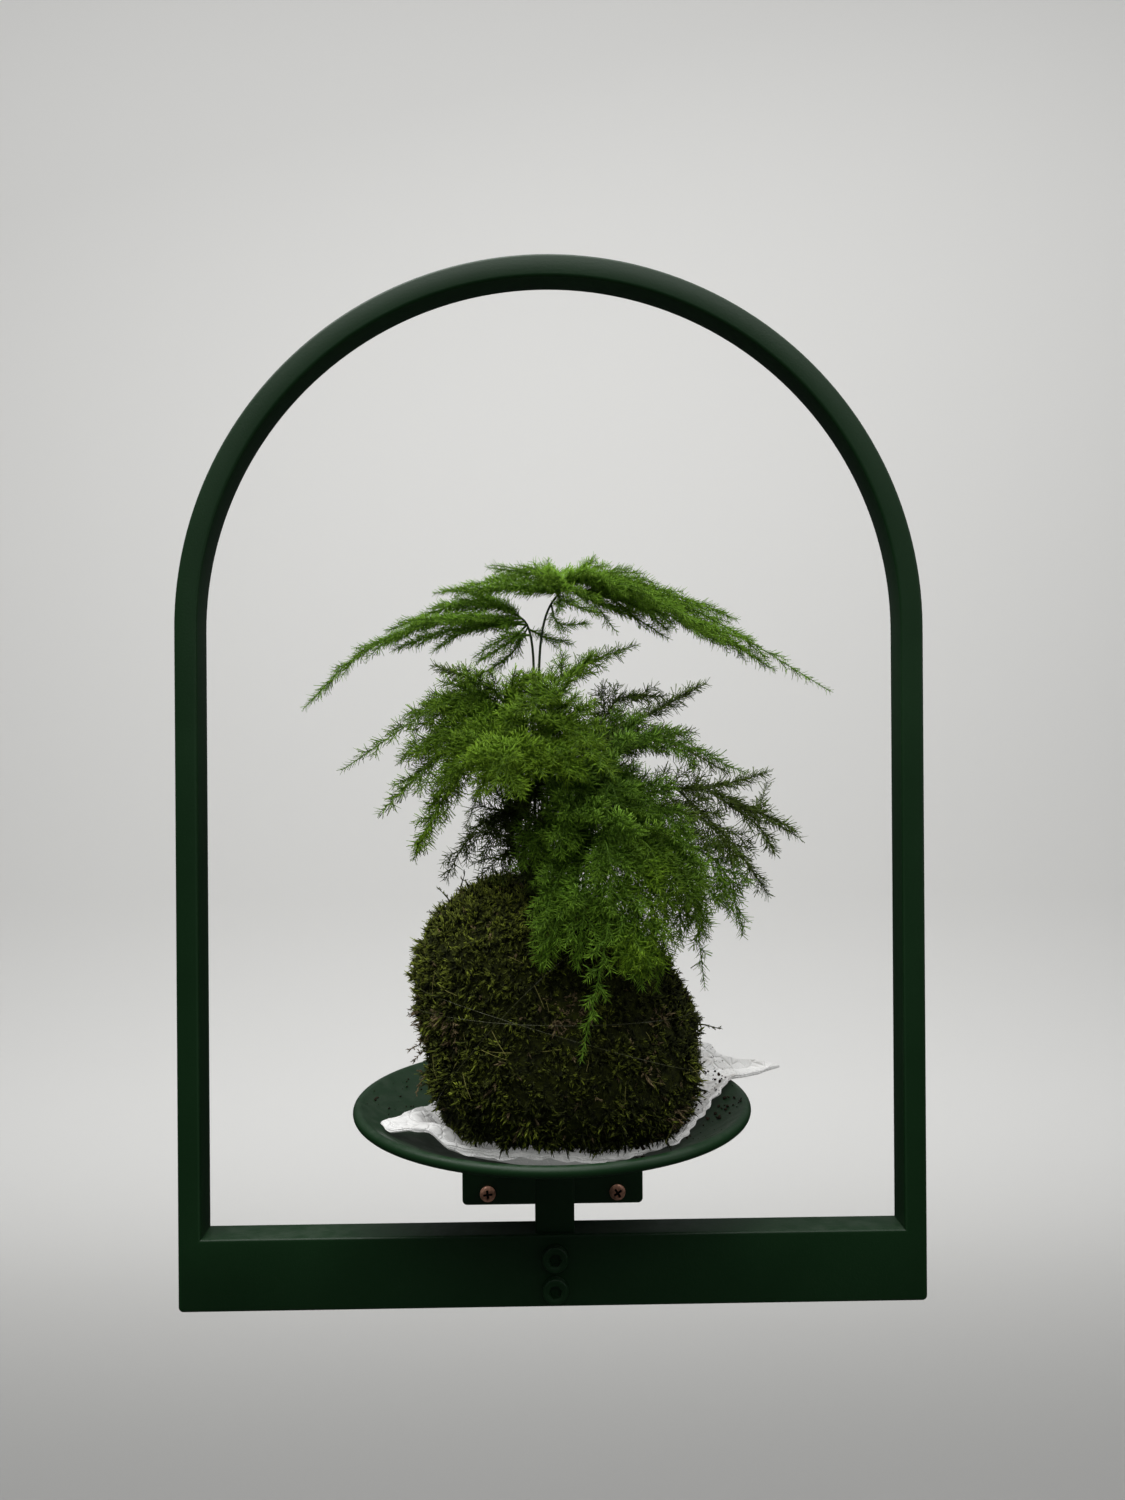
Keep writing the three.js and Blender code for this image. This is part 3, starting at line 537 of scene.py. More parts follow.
def turned(profile, steps, centre=(0, 0, 0)):
    """A profile of (radius, height) pairs, in metres, spun about an upright axis."""
    bm = bmesh.new()
    points = [bm.verts.new((centre[0] + r, centre[1], h)) for r, h in profile]
    for a, b in zip(points, points[1:]):
        bm.edges.new((a, b))
    bmesh.ops.spin(
        bm, geom=bm.verts[:] + bm.edges[:], cent=centre, axis=(0, 0, 1), angle=2 * math.pi, steps=steps,
        use_merge=True, use_duplicate=False)
    bmesh.ops.remove_doubles(bm, verts=bm.verts, dist=1e-6)
    bmesh.ops.recalc_face_normals(bm, faces=bm.faces)
    return bm


def square_ring(bm, outer, inner, front, back, height):
    """The four corners of a leg's section."""
    corners = ((outer, front), (inner, front), (inner, back), (outer, back))
    return [bm.verts.new((x, y, height)) for x, y in corners]


ARCH_STEPS = 96


def arched_frame(sizes):
    """The arch, its legs and the rail as one continuous bar, with a pocket for the post."""
    outer = sizes.width / 2
    inner = outer - sizes.face
    spring = sizes.bottom + sizes.height - outer
    back = sizes.front + sizes.depth
    rail_top = sizes.bottom + sizes.rail
    bm = bmesh.new()
    left = square_ring(bm, -outer, -inner, sizes.front, back, spring)
    loop = [bm.edges.new((left[k], left[(k + 1) % 4])) for k in range(4)]
    spun = bmesh.ops.spin(
        bm, geom=left + loop, cent=(0, 0, spring), axis=(0, 1, 0), angle=math.pi, steps=ARCH_STEPS)
    right = only(bmesh.types.BMEdge, spun["geom_last"])
    for vert in {v for e in right for v in e.verts}:
        vert.co.x = min((inner, outer), key=lambda x: abs(x - vert.co.x))
        vert.co.z = spring
    for ends in (loop, right):
        for height in (rail_top, sizes.bottom):
            grown = bmesh.ops.extrude_edge_only(bm, edges=ends)["geom"]
            ends = [edge for edge in only(bmesh.types.BMEdge, grown) if is_level(edge)]
            for vert in {v for e in ends for v in e.verts}:
                vert.co.z = height
    inward = [f for f in bm.faces if all(inside_rail(v.co, inner, rail_top) for v in f.verts)]
    from_left = [f for f in inward if f.verts[0].co.x < 0]
    bmesh.ops.delete(bm, geom=[f for f in inward if f.verts[0].co.x > 0], context="FACES_ONLY")
    grown = bmesh.ops.extrude_face_region(bm, geom=from_left)["geom"]
    bmesh.ops.translate(bm, verts=only(bmesh.types.BMVert, grown), vec=(2 * inner, 0, 0))
    bmesh.ops.delete(bm, geom=only(bmesh.types.BMFace, grown), context="FACES_ONLY")
    bmesh.ops.delete(bm, geom=[f for f in from_left if f.is_valid], context="FACES_ONLY")
    bmesh.ops.remove_doubles(bm, verts=bm.verts, dist=1e-5)
    bmesh.ops.holes_fill(bm, edges=[e for e in bm.edges if e.is_boundary], sides=4)
    bmesh.ops.recalc_face_normals(bm, faces=bm.faces)
    corners = [
        e for e in bm.edges
        if all(abs(v.co.z - sizes.bottom) < 1e-6 and abs(abs(v.co.x) - outer) < 1e-6 for v in e.verts)]
    round_edges(bm, corners, sizes.corner, 5)
    round_edges(bm, outward_edges(bm), sizes.edge, 3)
    play = 0.05 * MM
    half = sizes.tube / 2 + play
    pocket = box(
        (-half, sizes.tube_front - play, sizes.tube_bottom - play), (half, back + 1 * MM, rail_top + 1 * MM))
    return cut_out(bm, pocket)


def is_level(edge):
    return abs(edge.verts[0].co.z - edge.verts[1].co.z) < 1e-7


def inside_rail(point, inner, rail_top):
    """Whether a point is on the legs' inner faces, at the rail."""
    return abs(abs(point.x) - inner) < 1e-6 and point.z < rail_top + 1e-6


def rounded_box(low, high, edge, segments=3):
    bm = box(low, high)
    round_edges(bm, bm.edges[:], edge, segments)
    return bm


def plate_shape(sizes):
    """The wall plate: rounded corners, then a fine ease round its front."""
    bm = box(
        (-sizes.plate_width / 2, -sizes.plate_thickness, -sizes.plate_height / 2),
        (sizes.plate_width / 2, 0, sizes.plate_height / 2))
    upright = [e for e in bm.edges if abs(e.verts[0].co.y - e.verts[1].co.y) > 1e-6]
    round_edges(bm, upright, sizes.plate_corner, 6)
    front = [e for e in outward_edges(bm, 1.0) if all(v.co.y < -sizes.plate_thickness / 2 for v in e.verts)]
    round_edges(bm, front, 0.5 * MM, 2)
    return bm


def screw_shape(radius, rise, turn):
    """A pan head with a cross recess, standing along +Z with its seat at 0."""
    profile = [(0, -4 * MM), (2.2 * MM, -4 * MM), (2.2 * MM, 0), (radius * 0.97, 0), (radius, 0.12 * rise)]
    for k in range(7):
        angle = math.radians(12 + 11 * k)
        profile.append((radius * math.cos(angle) ** 0.7, rise * (0.22 + 0.78 * math.sin(angle))))
    profile.append((0, rise))
    reach, half, deep = 2.9 * MM, 0.75 * MM, 2.2 * MM
    bars = []
    for quarter in (0, math.pi / 2):
        bar = box((-reach, -half, rise - deep), (reach, half, rise + 1 * MM))
        bmesh.ops.rotate(bar, verts=bar.verts, cent=(0, 0, 0), matrix=Matrix.Rotation(quarter + turn, 3, "Z"))
        bars.append(bar)
    return cut_out(turned(profile, 40), *bars)


def bolt_shape(radius, rise, socket):
    """A cap head with an eased rim and a hexagon socket, standing along +Z with its seat at 0."""
    profile = [(0, -14 * MM), (3.9 * MM, -14 * MM), (3.9 * MM, 0), (radius - 0.3 * MM, 0), (radius, 0.3 * MM)]
    ease = 0.75 * MM
    for k in range(6):
        angle = math.radians(18 * k)
        profile.append((radius - ease + ease * math.cos(angle), rise - ease + ease * math.sin(angle)))
    profile += [(socket + 0.7 * MM, rise), (socket + 0.5 * MM, rise - 0.15 * MM), (0, rise - 0.15 * MM)]
    hexagon = bmesh.new()
    bmesh.ops.create_cone(
        hexagon, cap_ends=True, segments=6, radius1=socket, radius2=socket, depth=5 * MM,
        matrix=Matrix.Translation((0, 0, rise + 2.5 * MM - 2.9 * MM)) @ Matrix.Rotation(0.45, 4, "Z"))
    return cut_out(turned(profile, 56), hexagon)


def facing_front(bm, place):
    """Turns a shape that stands along +Z so that it points to the front, and sets it in place."""
    bmesh.ops.rotate(bm, verts=bm.verts, cent=(0, 0, 0), matrix=Matrix.Rotation(math.pi / 2, 3, "X"))
    bmesh.ops.translate(bm, verts=bm.verts, vec=place)
    return bm


LIP_SLOPE = math.radians(31)


def dish_height(sizes, radius):
    """Height of the dish's inner face at a distance from its axis."""
    reach = sizes.radius - sizes.lip * (1 + math.sin(LIP_SLOPE)) - sizes.floor_radius
    rise = sizes.rim - sizes.lip * (1 - math.cos(LIP_SLOPE)) - sizes.floor
    part = np.maximum(0.0, np.asarray(radius) - sizes.floor_radius) / reach
    return sizes.floor + rise * part ** 1.5


def dish_shape(sizes):
    """A spun dish: flat floor, flared wall and a lip rolled into a bead."""
    reach = sizes.radius - sizes.lip * (1 + math.sin(LIP_SLOPE)) - sizes.floor_radius
    stops = [0.0, sizes.floor_radius * 0.5] + [sizes.floor_radius + reach * k / 20 * 0.985 for k in range(21)]
    under = [(r, float(dish_height(sizes, r)) - sizes.wall) for r in stops]
    inside = [(r, float(dish_height(sizes, r))) for r in reversed(stops)]
    lip = []
    for k in range(12):
        angle = -1.32 + (1.32 + math.pi / 2 + LIP_SLOPE) * k / 11
        lip.append((
            sizes.radius - sizes.lip + sizes.lip * math.cos(angle),
            sizes.rim - sizes.lip + sizes.lip * math.sin(angle)))
    return turned(under + lip + inside, 144, tuple(sizes.centre))


# ------------------------------------------------------------------ the tissue

# The tissue's outer edge, close to the solid's: azimuth in degrees, distance from the dish's axis, height.
TISSUE_EDGE = [
    (-46, 62, 45.5), (-33, 71, 48), (-13, 76, 50.5), (-4, 82, 53), (4, 88, 56), (8, 93, 59), (10.5, 99, 60.5),
    (13.5, 110, 60), (17, 124, 58.5), (19, 134, 57.5), (20.5, 128, 59.5), (21.5, 116, 62), (22.5, 107, 64),
    (24, 102, 66), (27, 101, 69), (31, 97, 69.5), (36, 89, 69), (44, 80, 62), (75, 72, 47), (125, 70, 45),
    (154, 64.5, 45.8), (173, 68, 47), (182, 67.5, 50), (190, 71, 53), (196, 77, 54.5), (201, 86, 56.5),
    (204, 91.5, 57.5), (206.5, 90, 56), (209, 87, 55), (213, 81.5, 55), (217.5, 76.5, 54), (220, 73, 50.5),
    (223, 68, 47), (229, 59.5, 45), (242, 55, 44.5), (256, 53, 44), (278, 52, 43.8), (297, 57, 44.5),
]
TISSUE_FLAT = 44 * MM


def tissue_edge(azimuth):
    """Edge distance and height at each azimuth in degrees."""
    turns = [a for a, _, _ in TISSUE_EDGE] + [TISSUE_EDGE[0][0] + 360]
    turn = (np.asarray(azimuth) - TISSUE_EDGE[0][0]) % 360 + TISSUE_EDGE[0][0]
    radii = [r * MM for _, r, _ in TISSUE_EDGE] + [TISSUE_EDGE[0][1] * MM]
    heights = [z * MM for _, _, z in TISSUE_EDGE] + [TISSUE_EDGE[0][2] * MM]
    return np.interp(turn, turns, radii), np.interp(turn, turns, heights)


# The one sheet's free edge is folded under itself in small steps: out (+) or in, and down, in millimetres.
TISSUE_FOLDS = [(1.2, -0.5), (0.1, -1.1), (1.5, -1.8), (0.3, -2.4), (1.3, -3.1), (-0.4, -3.6)]


def creases(x, y, seed, waves, least, most):
    """Sharp folds in random directions, between -1 and 1; their pitch is in millimetres."""
    draw = random.Random(seed)
    total = np.zeros_like(x)
    for k in range(waves):
        heading = draw.uniform(0, math.pi)
        pitch = draw.uniform(least, most) * MM
        phase = (x * math.cos(heading) + y * math.sin(heading)) / pitch + draw.random() * 9
        total += (np.abs(phase % 2 - 1) * 2 - 1) * (pitch / (most * MM))
    return total / waves ** 0.5


def eased(value):
    """0 below 0, 1 above 1, eased in between."""
    t = np.clip(value, 0, 1)
    return t * t * (3 - 2 * t)


def tissue_surface(azimuth, part, dish, paper):
    """Points of the tissue: part 0 is the flat middle's edge, 1 the outer edge, and 2 and on its folds."""
    edge, edge_height = tissue_edge(azimuth)
    ragged = 1 + 0.010 * np.sin(azimuth * 0.37) + 0.008 * np.sin(azimuth * 0.91 + 1)
    out = np.minimum(part, 1.0)
    ply = np.maximum(np.rint(part - 1.0), 0).astype(int)
    steps = np.array([(0.0, 0.0), *TISSUE_FOLDS]) * MM
    thin = 0.4 + 0.6 * np.clip(1 - (edge - 62 * MM) / (14 * MM), 0, 1)
    uneven = 0.75 + 0.3 * np.sin(azimuth * 0.13 + ply) + 0.25 * np.sin(azimuth * 0.41 + 2.2 * ply)
    radius = TISSUE_FLAT + out * (edge * ragged - TISSUE_FLAT) + steps[ply, 0] * uneven * thin
    angle = np.radians(azimuth)
    x, y = radius * np.cos(angle), radius * np.sin(angle)
    base = dish.floor + 0.35 * MM
    turn = np.asarray(azimuth) % 360
    flap = eased((turn - 188) / 10) * eased((226 - turn) / 8)
    height = base + (edge_height - base) * ((1 - flap) * out ** 1.6 + flap * eased((out - 0.15) / 0.55))
    broad = creases(x, y, 5, 5, 12, 36) * out ** 1.3
    fine = creases(x, y, 8, 7, 3.5, 9) * np.minimum(out * 2, 1)
    over_lip = np.where(edge > dish.radius, dish.radius - 23 * MM, dish.radius - 10 * MM)
    least = np.where(radius > over_lip, dish.rim + 0.9 * MM, dish_height(dish, radius) + paper.lift)
    height = (
        height + paper.crumple * broad + paper.wrinkle * fine + steps[ply, 1] * thin * (0.8 + 0.3 * uneven))
    height = np.where(part > 0, np.maximum(height, least), base)
    return x + dish.centre[0], y + dish.centre[1], height


def tissue_shape(dish, paper):
    """A disc of rings moved to the tissue's surface; its outermost rings are the plies of the folded edge."""
    bm = bmesh.new()
    columns = 360
    bmesh.ops.create_circle(bm, cap_ends=True, cap_tris=True, segments=columns, radius=1.0)
    rim = [e for e in bm.edges if e.is_boundary]
    parts = [k / 32 for k in range(1, 33)] + [2.0 + k for k in range(len(TISSUE_FOLDS))]
    for k, part in enumerate(parts):
        grown = bmesh.ops.extrude_edge_only(bm, edges=rim)["geom"]
        rim = [edge for edge in only(bmesh.types.BMEdge, grown) if edge.is_boundary]
        for vert in {v for e in rim for v in e.verts}:
            vert.co = vert.co.normalized() * (2.0 + k)
    points = np.array([v.co for v in bm.verts])
    ring = np.rint(np.hypot(points[:, 0], points[:, 1])).astype(int)
    azimuth = np.degrees(np.arctan2(points[:, 1], points[:, 0]))
    part = np.array([0.0, 0.0, *parts])[ring]
    x, y, z = tissue_surface(azimuth, part, dish, paper)
    middle = ring == 0
    x[middle], y[middle] = dish.centre[0], dish.centre[1]
    for vert, place in zip(bm.verts, zip(x, y, z)):
        vert.co = place
    return bm


# ------------------------------------------------------------------ moss and soil

BALL_HALF = np.array([71, 70, 71.4]) * MM
BALL_POWER = 2.65  # 2 would be an ellipsoid; more makes the ball squarer
BALL_BOTTOM = 36.4 * MM
CROWN_PLACE = np.array([-2, -106]) * MM
MOSS_LAYERS = 4
STEM_FOOT = 147 * MM


def ball_radius(d):
    """Distance from the ball's centre to the smooth moss along unit directions, as in the solid."""
    total = (np.abs(d / (BALL_HALF / MM)) ** BALL_POWER).sum(-1)
    x, y, z = d[..., 0], d[..., 1], d[..., 2]
    slant = np.maximum(0, z) * x * np.where(x < 0, 15, 35.5) + 7 * np.maximum(0, -z) * np.maximum(0, -x)
    lumps = 1.6 * np.sin(4 * x + 2) * np.cos(5 * y - 1) + 1.3 * np.sin(6 * z + 3 * y)
    foot = np.clip((-z - 0.58) / 0.22, 0, 1)
    return (total ** (-1 / BALL_POWER) - slant - 7 * foot * foot * (3 - 2 * foot) + lumps) * MM


def mesh_points(mesh):
    points = np.empty(len(mesh.vertices) * 3, np.float32)
    mesh.vertices.foreach_get("co", points)
    return points.reshape(-1, 3).astype(float)


def ball_piece(name, moss, splits, surface):
    """A finely divided ball whose points are moved to centre + direction * surface(direction)."""
    bm = bmesh.new()
    bmesh.ops.create_icosphere(bm, subdivisions=splits, radius=1.0)
    piece = loose_object(bm, name)
    d = mesh_points(piece.data)
    d /= np.linalg.norm(d, axis=1)[:, None]
    points = np.array(moss.centre) + d * surface(d)[:, None]
    points[:, 2] = np.maximum(points[:, 2], BALL_BOTTOM)
    piece.data.vertices.foreach_set("co", points.astype(np.float32).ravel())
    piece.data.update()
    return piece


def lumps_at(d, scale, seed):
    """Noise from -1 to 1 over the ball's directions."""
    return np.array([noise.noise(Vector(v) * scale + Vector((seed, 0, 0))) for v in d])


def crown_share(points, moss):
    """1 in the middle of the crown's opening, 0 outside it."""
    away = np.hypot(points[:, 0] - CROWN_PLACE[0], points[:, 1] - CROWN_PLACE[1])
    above = points[:, 2] > moss.centre[2]
    return np.clip((moss.crown - away) / (5 * MM), 0, 1) * above


def moss_surface(moss):
    def surface(d):
        radius = ball_radius(d)
        relief = 1.3 * lumps_at(d, 7, 3) + 0.9 * lumps_at(d, 17, 9)
        side = np.clip((d[:, 2] + 0.75) / 0.4, 0, 1)
        opening = crown_share(np.array(moss.centre) + d * radius[:, None], moss)
        return radius + relief * side * MM - 3.8 * MM - opening * 12 * MM
    return surface


def soil_surface(d):
    return ball_radius(d) - 11.5 * MM + (1.2 * lumps_at(d, 16, 21) + 0.6 * lumps_at(d, 40, 5)) * MM


class Heap:
    """Collects placed copies of small unit shapes, with their shades, and joins them in one mesh."""

    def __init__(self, *shades):
        self.points = []
        self.faces = []
        self.shades = {name: [] for name in shades}
        self.count = 0

    def add(self, points, faces, **shades):
        self.points.append(points)
        self.faces.append(faces + self.count)
        for name, values in self.shades.items():
            values.append(np.broadcast_to(np.asarray(shades[name], float), len(points)))
        self.count += len(points)

    def copies(self, unit, places, **shades):
        """One copy of unit at each placement; a shade is one value for each copy, or for each point."""
        if len(places) == 0:
            return
        points, faces = unit
        moved = np.einsum("nij,vj->nvi", places[:, :, :3], points) + places[:, None, :, 3]
        shift = (np.arange(len(places)) * len(points))[:, None, None]
        spread = {}
        for name, values in shades.items():
            values = np.asarray(values, float)
            if values.ndim == 1:
                values = np.repeat(values[:, None], len(points), axis=1)
            spread[name] = values.ravel()
        self.add(moved.reshape(-1, 3), (faces[None] + shift).reshape(-1, 3), **spread)

    def piece(self, name):
        points = np.concatenate(self.points)
        faces = np.concatenate(self.faces)
        mesh = bpy.data.meshes.new(name)
        mesh.vertices.add(len(points))
        mesh.vertices.foreach_set("co", points.astype(np.float32).ravel())
        mesh.loops.add(len(faces) * 3)
        mesh.loops.foreach_set("vertex_index", faces.astype(np.int32).ravel())
        mesh.polygons.add(len(faces))
        mesh.polygons.foreach_set("loop_start", np.arange(0, len(faces) * 3, 3, dtype=np.int32))
        mesh.update(calc_edges=True)
        for shade_name, values in self.shades.items():
            layer = mesh.attributes.new(shade_name, "FLOAT", "POINT")
            layer.data.foreach_set("value", np.concatenate(values).astype(np.float32))
        made = bpy.data.objects.new(name, mesh)
        bpy.context.scene.collection.objects.link(made)
        return made


def unit_of(bm):
    """The points and triangles of a small bmesh, for copying."""
    bmesh.ops.remove_doubles(bm, verts=bm.verts, dist=1e-5)
    bmesh.ops.triangulate(bm, faces=bm.faces)
    bmesh.ops.recalc_face_normals(bm, faces=bm.faces)
    bm.verts.index_update()
    points = np.array([v.co for v in bm.verts], float)
    faces = np.array([[v.index for v in f.verts] for f in bm.faces], int)
    bm.free()
    return points, faces


def placements(spots, headings, rolls, sizes):
    """Matrices that set a unit's Z axis along each heading, rolled about it and scaled."""
    z = headings / np.linalg.norm(headings, axis=1)[:, None]
    helper = np.where(np.abs(z[:, 2:3]) < 0.9, [[0.0, 0.0, 1.0]], [[1.0, 0.0, 0.0]])
    x = np.cross(helper, z)
    x /= np.linalg.norm(x, axis=1)[:, None]
    y = np.cross(z, x)
    c, s = np.cos(rolls)[:, None], np.sin(rolls)[:, None]
    sizes = np.asarray(sizes, float)
    if sizes.ndim == 1:
        sizes = np.repeat(sizes[:, None], 3, axis=1)
    turned_x, turned_y = c * x + s * y, c * y - s * x
    columns = [turned_x * sizes[:, :1], turned_y * sizes[:, 1:2], z * sizes[:, 2:3], spots]
    return np.stack(columns, axis=2)


SHOOT_LEAVES = 7


def shoot_unit(bend, seed):
    """A moss shoot of unit length: narrow leaves set round a bent axis, each a wedge of four triangles."""
    draw = random.Random(seed)
    bm = bmesh.new()
    for k in range(SHOOT_LEAVES):
        part = k / SHOOT_LEAVES
        foot = Vector((1 - math.cos(bend * part), 0, math.sin(bend * part))) * (0.72 / bend)
        tilt = draw.uniform(0.35, 0.85) * (1 - 0.75 * part)
        size = draw.uniform(0.34, 0.50)
        matrix = (
            Matrix.Translation(foot) @ Matrix.Rotation(bend * part, 4, "Y")
            @ Matrix.Rotation(2.4 * k + draw.uniform(-0.4, 0.4), 4, "Z") @ Matrix.Rotation(tilt, 4, "Y"))
        root = [bm.verts.new((0, side * 0.088, -0.03)) for side in (-1, 1)]
        end = [bm.verts.new((side * 0.02, 0, size)) for side in (-1, 1)]
        bmesh.ops.convex_hull(bm, input=root + end)
        bmesh.ops.transform(bm, matrix=matrix, verts=root + end)
    return unit_of(bm)


def shoot_units():
    return [shoot_unit(bend, seed) for seed, bend in enumerate((0.5, 1.1, 1.7, 0.3, 2.1, 0.8))]


def surface_spots(mesh, count, draw, keep):
    """Random spots on a mesh, even over its area, with the surface's outward direction."""
    points = mesh_points(mesh)
    mesh.calc_loop_triangles()
    corners = np.empty(len(mesh.loop_triangles) * 3, np.int32)
    mesh.loop_triangles.foreach_get("vertices", corners)
    a, b, c = (points[corners.reshape(-1, 3)[:, k]] for k in range(3))
    cross = np.cross(b - a, c - a)
    area = np.linalg.norm(cross, axis=1) * keep((a + b + c) / 3)
    chosen = draw.choice(len(area), size=count, p=area / area.sum())
    u, v = draw.random((2, count))
    flip = u + v > 1
    u[flip], v[flip] = 1 - u[flip], 1 - v[flip]
    spots = a[chosen] + u[:, None] * (b - a)[chosen] + v[:, None] * (c - a)[chosen]
    return spots, unit_vectors(cross)[chosen]


def swirl(spots, seed, size):
    """A smooth random direction at each spot, so that neighbouring strands lie alike."""
    shift = Vector((seed, seed * 0.7, 0))
    return np.array([noise.noise_vector(Vector(p) / size + shift) for p in spots])


# Dry patches of the moss: middle, radius, in millimetres.
DRY_PATCHES = [
    ((-66, -128, 100), 11), ((-66, -120, 78), 8), ((-52, -160, 108), 6), ((-50, -162, 98), 6),
    ((6, -174, 112), 9), ((43, -162, 86), 6), ((60, -150, 58), 8), ((-20, -172, 60), 6), ((47, -158, 108), 5),
]
# Middle of the upper-left part: shoots near it grow longer and are painted lighter, as painted light.
LUSH_AND_LIT_PLACE = np.array([-46, -140, 138]) * MM


def dryness(spots, draw):
    """1 where a strand is dry, mostly in the dry patches, and 0 elsewhere."""
    near = np.zeros(len(spots))
    for middle, radius in DRY_PATCHES:
        away = np.linalg.norm(spots / MM - np.array(middle), axis=1)
        near = np.maximum(near, np.clip(1.5 - away / radius, 0, 1))
    return (draw.random(len(spots)) < 0.015 + near * 0.6).astype(float)


def moss_strands(ball, moss, layer, draw):
    """One layer of shoots over the ball: tufted ones are longer and stand up more, upper-left ones longer
    too; their tone holds painted light and shade.
    """
    def keep(middle):
        floor_clear = middle[:, 2] > 38 * MM
        open_crown = crown_share(middle, moss) < 0.4
        return floor_clear * open_crown * 1.0
    count = moss.strands // MOSS_LAYERS
    spots, normals = surface_spots(ball.data, count, draw, keep)
    tuft = np.array([
        noise.noise(Vector(p) / (5 * MM)) + 0.6 * noise.noise(Vector(p) / (14 * MM)) for p in spots])
    lush_and_lit = np.clip(1 - np.linalg.norm(spots - LUSH_AND_LIT_PLACE, axis=1) / (60 * MM), 0, 1)
    tuft = np.clip(0.5 + 0.85 * tuft, 0, 1)
    lay = swirl(spots, 4.0 + layer, 9 * MM) + draw.normal(0, 0.25, (count, 3)) + np.array([0, 0, -0.06])
    lay -= (lay * normals).sum(1)[:, None] * normals
    lay /= np.maximum(np.linalg.norm(lay, axis=1), 1e-6)[:, None]
    rise = draw.uniform(0.1, 0.8, count) + 0.5 * tuft
    heading = lay * np.cos(rise)[:, None] + normals * np.sin(rise)[:, None]
    low = spots[:, 2] < 46 * MM
    heading[low, 2] = np.abs(heading[low, 2])
    size = moss.strand_length * draw.uniform(0.6, 1.25, count) * (0.5 + 0.7 * tuft + 0.4 * lush_and_lit)
    broad = moss.strand_length * draw.uniform(0.75, 1.15, count)
    sizes = np.stack([broad, broad, size], axis=1)
    rolls = draw.uniform(0, 2 * math.pi, count)
    sunk = (2.2 - 1.9 * tuft)[:, None] * MM
    places = placements(spots - normals * sunk, heading, rolls, sizes)
    # Painted light and shade in the tone: darker to the right and in the sunken gaps between tufts, lighter
    # on tufts, near the upper left and on faces that look up; the rest is random tone.
    shaded = 0.25 * np.clip((spots[:, 0] - 20 * MM) / (40 * MM), 0, 1)
    tone = -0.06 - shaded + 0.66 * tuft + 0.35 * lush_and_lit + 0.14 * normals[:, 2] + 0.32 * draw.normal(size=count)
    tone = np.clip(tone, 0, 1)
    dry = dryness(spots, draw)
    heap = Heap("tip", "tone", "dry")
    units = shoot_units()
    for k, unit in enumerate(units):
        mine = np.arange(count) % len(units) == k
        along = np.clip(np.linalg.norm(unit[0], axis=1), 0, 1)
        tips = np.repeat(along[None], mine.sum(), axis=0)
        heap.copies(unit, places[mine], tip=tips, tone=tone[mine], dry=dry[mine])
    return heap.piece(f"moss_strands_{layer + 1}")


# Loose shoots that stand out of the ball: root, end, both in millimetres, thickness, and how dry.
WISPS = [
    ((-63, -118, 118), (-70, -120, 124), 0.4, 0.9), ((-64, -120, 108), (-71, -123, 105), 0.4, 0.9),
    ((-64, -122, 98), (-72, -126, 103), 0.5, 0.9), ((-64, -124, 94), (-71, -131, 87), 0.5, 0.9),
    ((-62, -122, 84), (-69, -126, 81), 0.4, 0.9), ((-58, -122, 74), (-67, -127, 75), 0.5, 0.9),
    ((-60, -134, 78), (-67, -142, 69), 0.5, 0.9), ((-57, -112, 146), (-62, -114, 152), 0.5, 0.2),
    ((-54, -112, 150), (-57, -113, 163), 0.7, 0.2), ((-52, -112, 152), (-50, -114, 160), 0.6, 0.2),
    ((-42, -112, 156), (-45, -114, 171), 0.7, 0.2), ((-40, -112, 158), (-36, -116, 169), 0.6, 0.2),
    ((-32, -112, 162), (-30, -118, 172), 0.6, 0.2), ((-26, -112, 164), (-20, -120, 173), 0.6, 0.2),
    ((64, -118, 94), (74, -121, 99), 0.8, 0.1), ((66, -118, 92), (83, -120, 93), 0.7, 0.1),
    ((64, -118, 88), (74, -118, 86), 0.7, 0.1), ((56, -116, 116), (64, -118, 121), 0.6, 0.5),
    ((58, -116, 110), (67, -118, 111), 0.6, 0.3), ((62, -118, 103), (69, -120, 108), 0.6, 0.2),
]


STALKS = 110


